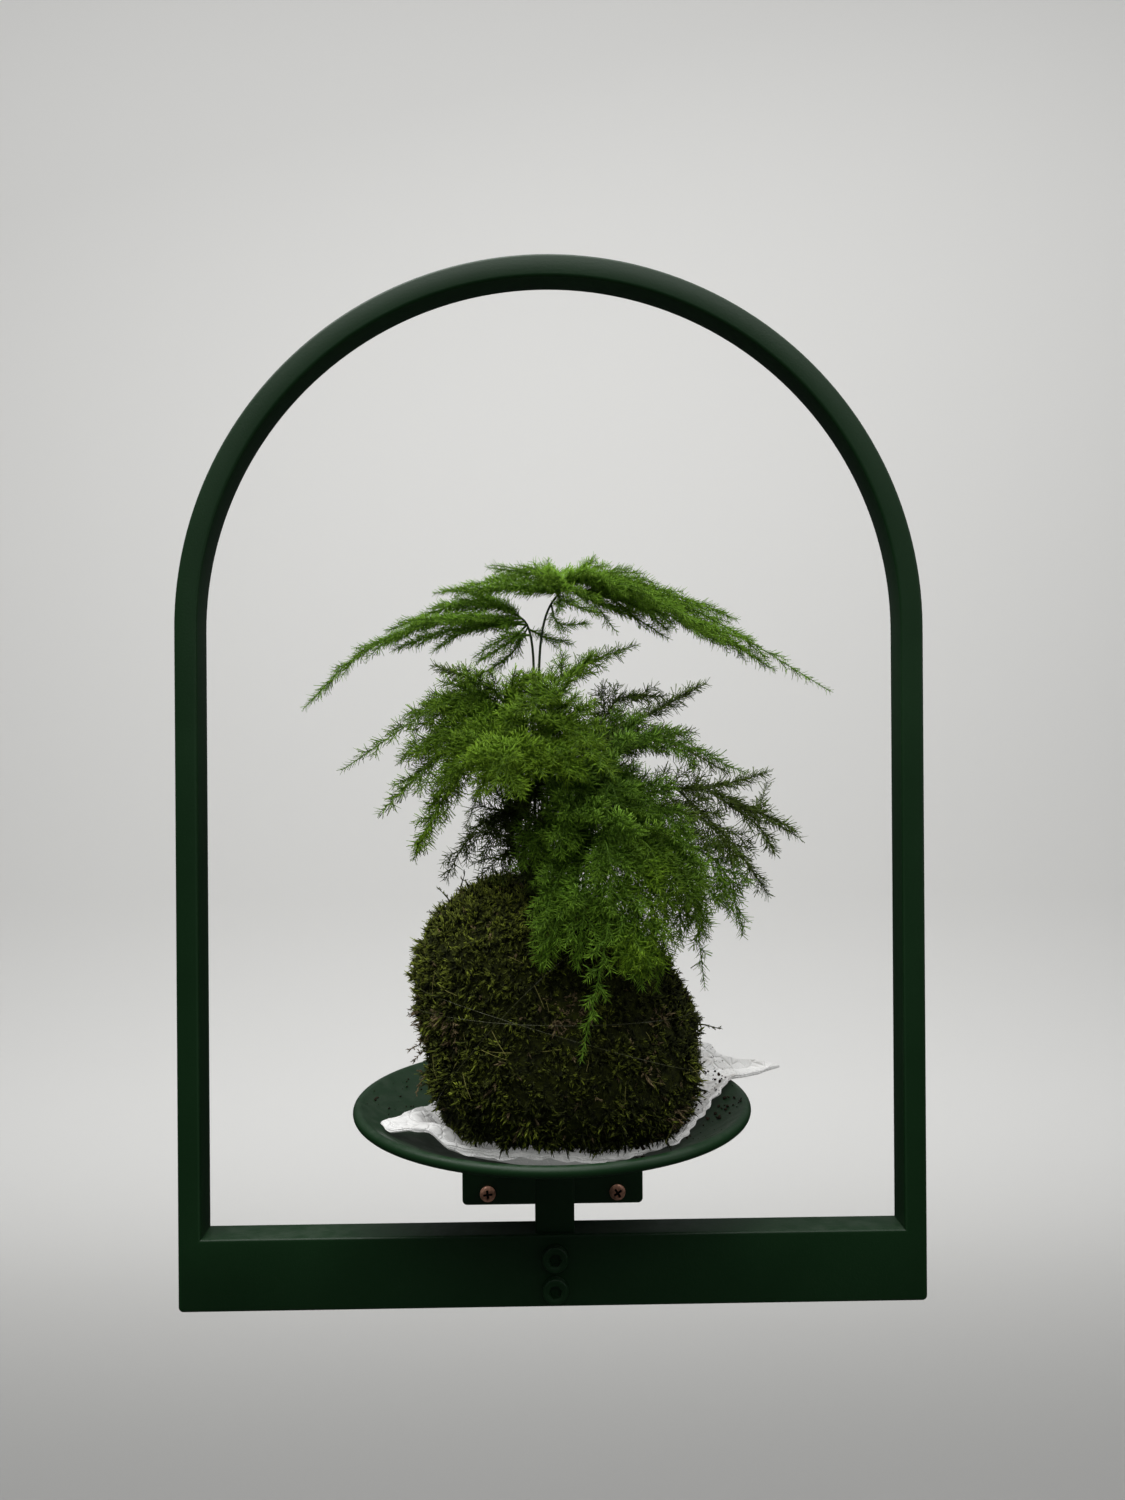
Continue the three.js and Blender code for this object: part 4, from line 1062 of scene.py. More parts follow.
def wispy(ball, draw):
    """Loose shoots, each a bent tapering line with short side leaves, and dry stalks that lie on the ball."""
    heap = Heap("tip", "tone", "dry")
    leaf = shoot_unit(0.8, 11)
    for root, end, thickness, dry in WISPS:
        start, stop = np.array(root) * MM, np.array(end) * MM
        sag = np.cross(stop - start, [0.0, 1.0, 0.2]) * draw.uniform(-0.25, 0.25)
        course = Course([start, (start + stop) / 2 + sag, stop])
        parts = np.linspace(0, 1, 7)
        add_tube(heap, course.at(0, parts), thickness * MM * (1 - 0.75 * parts), tip=0.6, tone=0.4, dry=dry)
        at = np.repeat(np.linspace(0.15, 1, 6), 2)
        spots = course.at(0, at)
        heading = course.heading(0, at) + draw.normal(0, 0.5, (12, 3))
        places = placements(spots, heading, draw.uniform(0, 6, 12), draw.uniform(2.2, 3.8, 12) * MM)
        tone = draw.random(12)
        heap.copies(leaf, places, tip=np.full(12, 0.75), tone=tone, dry=(draw.random(12) < dry) * 1.0)
    spots, normals = surface_spots(ball.data, STALKS, draw, lambda middle: (middle[:, 2] > 50 * MM) * 1.0)
    sideways = np.cross(normals, draw.normal(size=(STALKS, 3)))
    across = unit_vectors(sideways + normals * draw.uniform(-0.05, 0.3, (STALKS, 1)))
    reach = draw.uniform(4, 15, (STALKS, 1)) * MM
    lifted = spots + normals * 2.4 * MM
    ends = lifted + across * reach - normals * reach ** 2 / (2 * BALL_HALF[1])
    lines = [np.stack([a, (a + b) / 2 + n * r * 0.06, b]) for a, b, n, r in zip(lifted, ends, normals, reach)]
    add_tube(heap, lines, [np.array([0.13, 0.12, 0.07]) * MM] * STALKS, tip=0.9, tone=0.9, dry=0.55)
    return heap.piece("moss_wisps")


def add_tube(heap, points, radii, **shades):
    """Tapering square tubes along one line of points or a list of them, taken from a curve with a bevel."""
    curve = bpy.data.curves.new("tube", "CURVE")
    curve.dimensions = "3D"
    curve.bevel_depth = 1.0
    curve.bevel_resolution = 0
    curve.use_fill_caps = True
    lines = points if isinstance(points, list) else [points]
    widths = radii if isinstance(radii, list) else [radii]
    for line, width in zip(lines, widths):
        spline = curve.splines.new("POLY")
        spline.points.add(len(line) - 1)
        placed = np.column_stack([line, np.ones(len(line))])
        spline.points.foreach_set("co", placed.astype(np.float32).ravel())
        spline.points.foreach_set("radius", np.asarray(width, np.float32))
    made = bpy.data.objects.new("tube", curve)
    bpy.context.scene.collection.objects.link(made)
    done = made.evaluated_get(bpy.context.evaluated_depsgraph_get())
    mesh = done.to_mesh()
    mesh.calc_loop_triangles()
    corners = np.empty(len(mesh.loop_triangles) * 3, np.int32)
    mesh.loop_triangles.foreach_get("vertices", corners)
    heap.add(mesh_points(mesh), corners.reshape(-1, 3).astype(int), **shades)
    done.to_mesh_clear()
    remove(made)


# Each turn of the thread: its tilt, the azimuth that it tilts towards, in radians, and its lift.
THREAD_TURNS = [(0.06, 1.2, 0.13), (0.32, 0.4, -0.02), (0.85, 2.6, 0.05), (1.25, 4.4, 0.0)]


def thread_course(moss, tilt, azimuth, lift, count=150):
    """A taut turn of thread round the ball, in a tilted plane through a point near its centre."""
    normal = Vector((math.sin(tilt) * math.cos(azimuth), math.sin(tilt) * math.sin(azimuth), math.cos(tilt)))
    across = normal.cross(Vector((0.1, 1, 0))).normalized()
    beside = normal.cross(across)
    turn = np.linspace(0, 2 * math.pi, count + 1)
    d = np.outer(np.cos(turn), across) + np.outer(np.sin(turn), beside) + np.array([0, 0, lift])
    d /= np.linalg.norm(d, axis=1)[:, None]
    return np.array(moss.centre) + d * (ball_radius(d) + 0.4 * MM)[:, None]


# ------------------------------------------------------------------ the fern

# Each stem as in the solids, in millimetres: name, finish, root, the axis from the foot to the tip,
# bare share, blade's facing, half width, and side sprays (share where it leaves, axis, bare share,
# facing, half width).
UP = (0, 0, 1)
STEMS = [
    ("crest_right", "leaf", (-3, -108),
     [(-6, -108, 235), (-5, -108, 292), (5, -110, 316), (26, -112, 324), (72, -120, 306), (139, -132, 263)],
     0.64, (0.1, -0.5, 1), 34,
     [(0.6, [(-24, -92, 325), (-63, -78, 320)], 0.0, (0, -0.4, 1), 22),
      (0.6, [(-8, -112, 325), (-32, -116, 328)], 0.0, (0, -0.5, 1), 18),
      (0.57, [(-14, -114, 318), (-34, -118, 317), (-54, -122, 315)], 0.0, (0, -0.5, 1), 20),
      (0.6, [(18, -104, 326), (40, -100, 323), (68, -104, 309), (93, -110, 300)], 0.0, (0, -0.5, 1), 24),
      (0.61, [(22, -120, 322), (47, -128, 312), (74, -138, 296), (98, -146, 287)], 0.0, (0, -0.5, 1), 26),
      (0.64, [(34, -108, 316), (62, -112, 306), (92, -120, 288), (112, -128, 274)], 0.0, (0, -0.5, 1), 26),
      (0.6, [(24, -112, 310), (42, -112, 303), (60, -118, 291)], 0.0, (0, -0.5, 1), 22),
      (0.56, [(8, -122, 309), (24, -132, 302)], 0.0, (0, -0.5, 1), 18),
      (0.52, [(4, -118, 299), (19, -126, 298)], 0.1, UP, 13)]),
    ("crest_left", "leaf", (-8, -106),
     [(-9.5, -106, 235), (-9.5, -106, 288), (-18, -107, 305), (-43, -110, 307), (-94, -121, 285),
      (-123, -130, 256)],
     0.54, (-0.15, -0.5, 1), 30,
     [(0.5, [(-24, -116, 288), (-38, -124, 279)], 0.1, UP, 14),
      (0.55, [(-36, -104, 313), (-62, -106, 306), (-84, -112, 296)], 0.0, (0, -0.5, 1), 22),
      (0.54, [(-32, -118, 301), (-58, -126, 299), (-80, -132, 291), (-96, -138, 282)], 0.0, (0, -0.5, 1), 24),
      (0.52, [(-26, -104, 300), (-46, -100, 296), (-62, -98, 287)], 0.0, (0, -0.5, 1), 20),
      (0.49, [(-20, -98, 286), (-32, -92, 278), (-44, -90, 272)], 0.0, (0, -0.5, 1), 14),
      (0.48, [(-2, -98, 294), (12, -92, 291)], 0.0, (0, -0.5, 1), 14)]),
    ("left_bright", "fresh", (-13, -113),
     [(-20, -117, 215), (-28, -126, 258), (-52, -142, 258), (-98, -166, 226)],
     0.34, (-0.2, -0.8, 0.55), 36,
     [(0.56, [(-45, -152, 240), (-80, -172, 206)], 0.1, (-0.2, -0.7, 0.6), 30),
      (0.5, [(-20, -130, 266), (8, -136, 271)], 0.1, (0, -0.5, 0.9), 22),
      (0.52, [(-48, -122, 260), (-74, -126, 250)], 0.0, (0, -0.4, 0.9), 20)]),
    ("left_drooping", "fresh", (-10, -119),
     [(-13, -127, 205), (-22, -142, 240), (-42, -160, 228), (-64, -176, 185)],
     0.42, (-0.3, -0.8, 0.4), 30,
     [(0.6, [(-24, -176, 232), (-14, -192, 214)], 0.1, (0, -0.7, 0.7), 26),
      (0.5, [(-6, -160, 236), (12, -176, 228)], 0.1, (0.2, -0.7, 0.7), 24)]),
    ("left_back", "deep", (-16, -103),
     [(-26, -96, 210), (-32, -88, 252), (-46, -76, 274), (-64, -66, 282)],
     0.5, (0, -0.4, 1), 24,
     [(0.3, [(-42, -92, 190), (-57, -88, 166)], 0.2, (0, -1, 0.4), 22),
      (0.58, [(-52, -62, 246), (-74, -44, 232)], 0.1, (0, -0.3, 1), 26),
      (0.28, [(-26, -126, 204), (-34, -150, 184)], 0.1, (0, -0.9, 0.5), 32),
      (0.36, [(-10, -132, 216), (-4, -154, 200)], 0.1, (0, -0.8, 0.6), 32),
      (0.24, [(-22, -116, 184), (-38, -128, 170)], 0.1, (0, -0.9, 0.5), 28),
      (0.44, [(-30, -112, 238), (-34, -136, 220)], 0.1, (0, -0.9, 0.5), 32),
      (0.5, [(-20, -100, 262), (2, -104, 264)], 0.0, (0, -0.5, 0.9), 30)]),
    ("front_fresh", "fresh", (-4, -121),
     [(-3, -132, 205), (2, -146, 246), (12, -166, 244), (27, -190, 222)],
     0.42, (0.1, -0.6, 0.8), 32,
     [(0.47, [(2, -136, 265), (18, -127, 278), (43, -118, 288)], 0.2, (-0.3, -0.8, 0.5), 18),
      (0.55, [(2, -154, 262), (-18, -168, 252)], 0.1, (0, -0.6, 0.8), 28)]),
    ("right_upper", "deep", (5, -99),
     [(14, -92, 215), (28, -88, 244), (50, -82, 252), (86, -72, 271)],
     0.36, (-0.2, -0.9, 0.4), 26,
     [(0.52, [(58, -96, 240), (92, -104, 222)], 0.1, (0.2, -0.6, 0.8), 28),
      (0.34, [(24, -120, 224), (42, -144, 206)], 0.1, (0.1, -0.8, 0.6), 34),
      (0.5, [(34, -108, 260), (58, -112, 262)], 0.1, (0, -0.5, 0.9), 26),
      (0.36, [(8, -112, 234), (-8, -130, 232)], 0.1, (0, -0.8, 0.6), 32),
      (0.44, [(30, -112, 244), (38, -134, 232)], 0.1, (0, -0.8, 0.6), 32)]),
    ("right_middle", "leaf", (4, -112),
     [(13, -118, 205), (30, -128, 236), (54, -136, 240), (94, -144, 223)],
     0.36, (0.1, -0.6, 0.8), 34,
     [(0.45, [(42, -146, 214), (66, -160, 186)], 0.1, (0.1, -0.9, 0.4), 32),
      (0.36, [(26, -148, 220), (34, -172, 194)], 0.1, (0.1, -0.9, 0.4), 30),
      (0.32, [(10, -142, 222), (2, -164, 202)], 0.1, (0, -0.9, 0.4), 32)]),
    ("right_far", "deep", (10, -105),
     [(32, -106, 196), (58, -110, 214), (90, -114, 210), (126, -120, 189)],
     0.3, (0.1, -0.8, 0.6), 30,
     [(0.6, [(88, -104, 216), (114, -98, 222)], 0.1, (0, -0.7, 0.7), 18),
      (0.64, [(92, -118, 186), (110, -118, 160)], 0.1, (0.2, -1, 0.2), 22),
      (0.45, [(70, -130, 202), (96, -140, 178)], 0.1, (0.2, -0.8, 0.6), 30)]),
    ("right_low", "leaf", (11, -115),
     [(34, -127, 190), (54, -140, 194), (66, -150, 168), (72, -154, 121)],
     0.3, (0.3, -1, 0.2), 30,
     [(0.5, [(82, -134, 178), (94, -134, 142)], 0.1, (0.5, -0.8, 0.2), 24),
      (0.42, [(58, -158, 176), (58, -174, 146)], 0.1, (0.2, -1, 0.2), 28)]),
    ("front_hanging", "leaf", (2, -124),
     [(13, -148, 190), (24, -174, 192), (24, -190, 158), (11, -200, 99)],
     0.3, (0, -1, 0.1), 32,
     [(0.4, [(2, -172, 176), (-10, -185, 147)], 0.1, (-0.2, -1, 0.2), 26),
      (0.44, [(14, -182, 168), (10, -190, 138)], 0.1, (0, -1, 0.1), 26),
      (0.46, [(34, -186, 164), (38, -196, 130)], 0.1, (0.2, -1, 0.1), 26),
      (0.24, [(-2, -146, 200), (-18, -160, 178)], 0.1, (0, -0.9, 0.4), 30),
      (0.3, [(10, -160, 206), (0, -176, 186)], 0.1, (0, -0.9, 0.4), 30)]),
    ("front_right", "fresh", (7, -122),
     [(28, -143, 188), (44, -168, 190), (50, -184, 160), (45, -190, 127)],
     0.34, (0.2, -1, 0.1), 27,
     [(0.5, [(60, -172, 172), (70, -176, 148)], 0.1, (0.3, -1, 0.1), 24)]),
    ("back_left", "deep", (-10, -93),
     [(-16, -80, 205), (-24, -62, 230), (-36, -42, 222), (-50, -24, 190)],
     0.34, (-0.2, 0.5, 0.8), 30,
     [(0.5, [(-14, -46, 238), (0, -26, 232)], 0.1, (0, 0.3, 1), 28)]),
    ("back_right", "deep", (3, -90),
     [(16, -74, 200), (32, -58, 222), (52, -42, 212), (72, -30, 178)],
     0.34, (0.2, 0.5, 0.8), 30,
     [(0.42, [(24, -40, 198), (20, -26, 168)], 0.1, (0, 1, 0.3), 26)]),
]


class Course:
    """A smooth line through points, the same as the solids' stem axes.

    It is asked for places in the way that Shoots is, and holds one line, so which is always 0.
    """

    def __init__(self, points):
        p = np.array(points, float)
        self.points = np.vstack([2 * p[0] - p[1], p, 2 * p[-1] - p[-2]])
        steps = self.at(0, np.linspace(0, 1, 121))
        self.reach = np.array([np.linalg.norm(np.diff(steps, axis=0), axis=1).sum()])
        self.age = np.zeros(1)

    def at(self, which, part):
        spans = len(self.points) - 3
        along = np.clip(np.asarray(part, float), 0, 1) * spans
        k = np.minimum(along.astype(int), spans - 1)
        t = (along - k)[..., None]
        p0, p1, p2, p3 = (self.points[k + j] for j in range(4))
        m1, m2 = (p2 - p0) / 2, (p3 - p1) / 2
        return p1 + t * m1 + t * t * (3 * (p2 - p1) - 2 * m1 - m2) + t ** 3 * (2 * (p1 - p2) + m1 + m2)

    def heading(self, which, part):
        part = np.clip(part, 0.002, 0.998)
        return unit_vectors(self.at(which, part + 1e-3) - self.at(which, part - 1e-3))


class Shoots:
    """Bowed side shoots, held as arrays: where each starts, bends and ends, its reach and its age."""

    def __init__(self, start, heading, along, reach, age, sag):
        size = reach[:, None]
        self.start = start
        self.middle = start + heading * size * 0.5
        self.end = start + heading * size * 0.85 + along * size * 0.2 - size * [0, 0, sag]
        self.reach = reach
        self.age = age

    def at(self, which, part):
        t = np.asarray(part, float)[..., None]
        start, middle, end = self.start[which], self.middle[which], self.end[which]
        return start * (1 - t) ** 2 + middle * 2 * t * (1 - t) + end * t * t

    def heading(self, which, part):
        t = np.asarray(part, float)[..., None]
        start, middle, end = self.start[which], self.middle[which], self.end[which]
        return unit_vectors((middle - start) * (1 - t) + (end - middle) * t)


def unit_vectors(v):
    return v / np.maximum(np.linalg.norm(v, axis=-1, keepdims=True), 1e-12)


def places_along(parent, low, spacing, least=1):
    """Evenly spaced places on every line of parent: which line, its share of the way, and left or right."""
    counts = np.maximum(least, np.round(parent.reach * (1 - low) / spacing)).astype(int)
    which = np.repeat(np.arange(len(counts)), counts)
    order = np.arange(len(which)) - np.repeat(np.cumsum(counts) - counts, counts)
    return which, (order + 0.5) / counts[which], order % 2 * 2.0 - 1


def side_shoots(parent, low, facing, width, spacing, habit, draw):
    """Shoots left and right in turn along parent's lines; their reach follows the frond's outline."""
    angle, roll, sag = habit
    which, part, side_sign = places_along(parent, low, spacing, 2)
    part = np.clip(part + draw.uniform(-0.3, 0.3, len(part)) * spacing / parent.reach[which], 0, 1)
    at = low + (1 - low) * 0.97 * part
    along = parent.heading(which, at)
    side = unit_vectors(np.cross(unit_vectors(np.array(facing, float)), along)) * side_sign[:, None]
    out = np.cross(along, side)
    turn = draw.normal(0, roll, len(part))[:, None]
    spread = (angle * draw.uniform(0.75, 1.2, len(part)))[:, None]
    heading = along * np.cos(spread) + (side * np.cos(turn) + out * np.sin(turn)) * np.sin(spread)
    full = width[which] if np.ndim(width) else width
    reach = full * np.minimum(1, 0.5 + 2.2 * part) * (1 - part) ** 0.7 * draw.uniform(0.7, 1.12, len(part))
    kept = reach > 2.2 * MM
    age = np.maximum(parent.age[which], part)
    start = parent.at(which, at)
    return Shoots(start[kept], heading[kept], along[kept], reach[kept], age[kept], sag)


def outside_ball(spots, moss):
    out = spots - np.array(moss.centre)
    reach = np.linalg.norm(out, axis=1)
    clear = reach > ball_radius(out / reach[:, None]) + 1.5 * MM
    on_crown = np.hypot(spots[:, 0] - CROWN_PLACE[0], spots[:, 1] - CROWN_PLACE[1]) < moss.crown - 2 * MM
    return clear | (on_crown & (spots[:, 2] > STEM_FOOT + 6 * MM))


WHORL_NEEDLES = 3
WHORL_LEANS = (0.75, 0.6, 0.95, 0.8, 0.7, 0.9)
NEEDLE_HALF = 0.040  # half a needle's width, beside its length


def whorl_unit(needles, lean, thickness, seed):
    """A ring of needles of about unit length that lean out from the twig.

    A needle is a wedge of four triangles: its root is an edge across, and its end an edge upright.
    """
    draw = random.Random(seed)
    bm = bmesh.new()
    for k in range(needles):
        turn = 2 * math.pi * k / needles + draw.uniform(-0.3, 0.3)
        tilt = lean * draw.uniform(0.75, 1.25)
        size = draw.uniform(0.7, 1.08)
        matrix = Matrix.Rotation(turn, 4, "Z") @ Matrix.Rotation(tilt, 4, "Y")
        root = [bm.verts.new((side * thickness, 0, 0.02)) for side in (-1, 1)]
        end = [bm.verts.new((0, side * thickness, size)) for side in (-1, 1)]
        bmesh.ops.convex_hull(bm, input=root + end)
        bmesh.ops.transform(bm, matrix=matrix, verts=root + end)
    return unit_of(bm)


# Short sprays that fill the fronds out, too slight for the solids: the stem that they leave, and for each
# its share there, its two points, its half width, and how much lighter it is.
FILLERS = {
    "left_bright": [
        (0.55, (-46, -130, 257), (-68, -142, 244), 24, 0), (0.6, (-51, -152, 243), (-72, -162, 230), 26, 0.1),
        (0.6, (-42, -162, 233), (-54, -172, 214), 24, 0.15)],
    "left_drooping": [
        (0.55, (-18, -165, 237), (-4, -176, 229), 26, 0.25),
        (0.6, (-28, -172, 230), (-34, -182, 214), 26, 0.2),
        (0.56, (-8, -170, 230), (13, -175, 222), 18, 0.4),
        (0.8, (-56, -172, 203), (-63, -177, 188), 14, 0.3)],
    "front_fresh": [
        (0.5, (-2, -150, 251), (11, -165, 244), 24, 0), (0.55, (1, -170, 236), (14, -182, 221), 22, 0.1),
        (0.4, (-15, -140, 252), (-22, -160, 243), 26, 0.1)],
    "right_upper": [
        (0.3, (13, -120, 240), (23, -136, 218), 30, 0), (0.35, (6, -124, 229), (2, -142, 207), 32, 0),
        (0.8, (68, -76, 262), (82, -73, 270), 12, 0)],
    "left_back": [
        (0.2, (-14, -122, 193), (-25, -140, 170), 30, 0), (0.24, (-7, -126, 193), (-12, -144, 166), 30, 0),
        (0.3, (-16, -122, 208), (-30, -136, 189), 32, 0), (0.18, (-5, -124, 179), (-7, -142, 155), 28, 0)],
    "right_middle": [
        (0.3, (9, -130, 201), (5, -150, 178), 32, 0),
        (0.35, (29, -140, 208), (38, -156, 189), 32, 0)],
    "front_hanging": [
        (0.2, (2, -132, 183), (-2, -152, 156), 28, 0),
        (0.45, (2, -182, 160), (-6, -186, 137), 24, 0)],
    "right_low": [
        (0.4, (40, -142, 194), (47, -156, 168), 30, 0),
        (0.5, (70, -140, 172), (86, -140, 156), 20, 0.1)],
    "right_far": [
        (0.8, (104, -114, 202), (114, -98, 217), 12, 0), (0.85, (112, -118, 199), (124, -120, 193), 12, 0.1),
        (0.75, (104, -120, 196), (112, -126, 182), 14, 0)],
    "front_right": [
        (0.55, (36, -190, 157), (30, -196, 137), 28, 0.8),
        (0.6, (43, -190, 150), (38, -196, 136), 22, 0.7)],
    "crest_right": [
        (0.56, (-4, -112, 325), (-30, -112, 330), 18, 0), (0.58, (61, -112, 314), (95, -116, 301), 20, 0.1),
        (0.6, (60, -124, 302), (87, -132, 286), 20, 0), (0.6, (42, -118, 309), (60, -122, 294), 18, 0.2),
        (0.66, (71, -120, 301), (100, -130, 282), 20, 0.1), (0.57, (-15, -116, 317), (-46, -120, 315), 16, 0),
        (0.58, (4, -120, 322), (-16, -124, 328), 20, 0.1), (0.6, (14, -120, 324), (36, -126, 315), 22, 0.35),
        (0.57, (6, -122, 316), (26, -130, 309), 20, 0.4), (0.6, (2, -104, 326), (18, -98, 330), 18, 0.1),
        (0.6, (0, -122, 321), (-2, -132, 325), 22, 0.35), (0.6, (5, -114, 321), (9, -106, 327), 20, 0.2)],
    "crest_left": [
        (0.5, (-52, -112, 302), (-77, -118, 293), 18, 0), (0.52, (-53, -120, 295), (-79, -128, 285), 20, 0),
        (0.46, (-23, -116, 292), (-39, -122, 282), 16, 0.1)],
}
# How light a stem's fronds are beside its finish: added to the tone, and to the share of young growth.
LIGHTER = {
    "crest_right": (0.4, 0.36), "crest_left": (0.32, 0.22), "right_middle": (-0.3, -0.1),
    "right_low": (0.0, 0.05), "front_hanging": (-0.15, 0.0), "front_right": (-0.25, -0.15),
    "left_drooping": (0.15, 0.2),
}

# How fronds branch: the angle of a side shoot, how far it leaves the frond's plane, and its sag; then the
# spacing of the side shoots, the share of a side shoot that its twigs reach, the needles' length, in mm,
# and how far apart their whorls are beside the fern's whorl step.
TAIL = ((0.42, 0.8, 0.12), 3.9, 0.36, 4.8, 0.95)
PLUME = ((0.8, 0.5, 0.12), 3.8, 0.5, 6.0, 1.0)
WISP = ((0.75, 0.5, 0.1), 5.6, 0.5, 6.4, 1.5)
FILLER_FACING = (0, -0.7, 0.7)
HABITS = {
    "crest_right": TAIL, "crest_left": TAIL, "left_bright": PLUME, "left_drooping": PLUME, "left_back": WISP,
    "front_fresh": PLUME, "right_upper": WISP, "right_middle": PLUME, "right_far": WISP, "right_low": PLUME,
    "front_hanging": PLUME, "front_right": PLUME, "back_left": WISP, "back_right": WISP,
}


def fern_piece(stem, fern, moss, index, whorls):
    """One leafy stem of the fern: its stems as tubes, its twigs, and whorls of needles along them."""
    name, _, root, path, bare, facing, width, sprays = stem
    draw = np.random.default_rng(100 + index)
    habit, spacing, twig_share, needle, apart = HABITS[name]
    foot = [(*root, STEM_FOOT / MM), (*root, STEM_FOOT / MM + 24)]
    axis = Course(np.array(foot + path) * MM)
    blades = [(axis, bare, facing, width * MM, fern.stem, 0.0)]
    all_sprays = [(*spray, 0.0) for spray in sprays]
    for leaves_at, first, last, half, glow in FILLERS.get(name, []):
        all_sprays.append((leaves_at, [first, last], 0.0, FILLER_FACING, half, glow))
    for leaves_at, spray, low, face, half, glow in all_sprays:
        course = Course(np.vstack([axis.at(0, leaves_at), np.array(spray, float) * MM]))
        blades.append((course, low, face, half * MM, fern.stem * 0.7, glow))
    lines, radii, grown, bare_lines, bare_radii = [], [], [], [], []
    for course, low, *_, thickness, _ in blades:
        for first, last, tubes, widths in ((0.0, low, bare_lines, bare_radii), (low, 1.0, lines, radii)):
            if last > first:
                parts = np.linspace(first, last, max(6, int(course.reach[0] * (last - first) / (5 * MM))))
                tubes.append(course.at(0, parts))
                widths.append(thickness * (1 - 0.78 * parts))
    for course, low, face, half, _, glow in blades:
        branches = side_shoots(course, low, face, half, spacing * MM, habit, draw)
        long_ones = branches.reach > 7 * MM
        twig_reach = np.minimum(branches.reach * twig_share, 17 * MM) * long_ones
        twigs = side_shoots(branches, 0.1, face, twig_reach, fern.twig_step, habit, draw)
        grown += [
            (course, low + (1 - low) * 0.05, glow, 0.75), (branches, 0.05, glow, apart),
            (twigs, 0.03, glow, apart)]
        for shoots, coarse, radius in ((branches, 5, 0.26 * MM), (twigs, 3, 0.16 * MM)):
            steps = np.linspace(0, 1, coarse)
            for k in range(len(shoots.reach)):
                lines.append(shoots.at(k, steps))
                radii.append(radius * (1 - 0.5 * steps))
    spots, headings, sizes, ages, tones = [], [], [], [], []
    for parent, low, glow, wide in grown:
        which, part, _ = places_along(parent, low, fern.whorl_step * wide)
        at = low + (1 - low) * part
        spots.append(parent.at(which, at))
        headings.append(parent.heading(which, at))
        sizes.append(needle * MM * (1 - 0.3 * at ** 3))
        ages.append((0.25 + 0.75 * parent.age[which]) * at ** 1.5 + glow * 0.5)
        tones.append(draw.normal(0.5 + glow, 0.22, len(parent.reach))[which])
    spots, headings, sizes, ages, tones = (
        np.concatenate(values) for values in (spots, headings, sizes, ages, tones))
    kept = outside_ball(spots, moss)
    count = kept.sum()
    sizes = sizes[kept] * draw.uniform(0.8, 1.15, count)
    places = placements(spots[kept], headings[kept], draw.uniform(0, 2 * math.pi, count), sizes)
    lighter, younger = LIGHTER.get(name, (0.0, 0.0))
    tone = np.clip(tones[kept] + draw.normal(0, 0.16, count) + lighter, 0, 1)
    young = np.clip(ages[kept] + younger, 0, 1)
    heap = Heap("young", "tone", "woody")
    add_tube(heap, bare_lines, bare_radii, young=0.0, tone=0.3, woody=1.0)
    add_tube(heap, lines, radii, young=0.1, tone=0.5, woody=0.25)
    for k, unit in enumerate(whorls):
        mine = np.arange(count) % len(whorls) == k
        heap.copies(unit, places[mine], young=young[mine], tone=tone[mine], woody=np.zeros(mine.sum()))
    return heap.piece(f"fern_{name}_foliage")


# ------------------------------------------------------------------ operators

CAMERA_PLACE = (-5.95 * MM, -690.3 * MM, 234.7 * MM)
CAMERA_YAW = -0.0200
CAMERA_ROLL = -0.0067
CAMERA_FOCUS = 1126.0  # in pixels of the photograph
CAMERA_CLIP = (0.01, 50)
FLOOR_FRONT = -3.0
FLOOR_HALF = 4.0
BACKDROP_TOP = 3.2
BOLT_HEIGHTS = (-22 * MM, -38 * MM)


class KOKEDAMA_OT_stage(Operator):
    """Make the camera at the photograph's place, the pale floor and backdrop, and the soft lights"""

    bl_idname = "kokedama.stage"
    bl_label = "Stage"

    def execute(self, context):
        settings = context.scene.kokedama
        sizes = settings.stage
        view = bpy.data.cameras.new("camera")
        view.sensor_width = SENSOR
        view.lens = CAMERA_FOCUS / IMAGE_HEIGHT * SENSOR
        view.clip_start, view.clip_end = CAMERA_CLIP
        camera = bpy.data.objects.new("camera", view)
        context.scene.collection.objects.link(camera)
        camera.matrix_world = camera_matrix()
        context.scene.camera = camera
        floor = floor_sweep(sizes)
        floor.data.materials.append(backdrop_with_painted_shade(settings.colours.backdrop))
        floor.data.shade_smooth()
        floor.visible_glossy = False
        world = bpy.data.worlds.new("room")
        world.use_nodes = True
        sky = world.node_tree.nodes["Background"]
        start = Wire(world.node_tree)
        upward = start.node("SeparateXYZ", {}, {0: start.node("TexCoord", output="Generated")}, output="Z")
        room = tint(start, step(start, upward, -0.15, 0.8), SKY_LOW, SKY_HIGH)
        world.node_tree.links.new(room.socket, sky.inputs["Color"])
        sky.inputs["Strength"].default_value = sizes.sky
        context.scene.world = world
        soft_light("ceiling", (-0.35, -0.3, 1.45), (0.0, -0.15, 0.1), (1.2, 1.2), sizes.ceiling)
        soft_light("window", (1.3, -0.75, 0.55), (0, -0.1, 0.15), (0.5, 1.3), sizes.window)
        soft_light("front", (0.1, -1.3, 1.5), (0, -0.1, 0.2), (1.6, 0.9), sizes.front)
        soft_light("backdrop", (0.0, -0.1, 2.1), (0.0, 1.9, 0.2), (5.0, 0.6), sizes.rear)
        context.scene.view_settings.view_transform = "Standard"
        return {"FINISHED"}


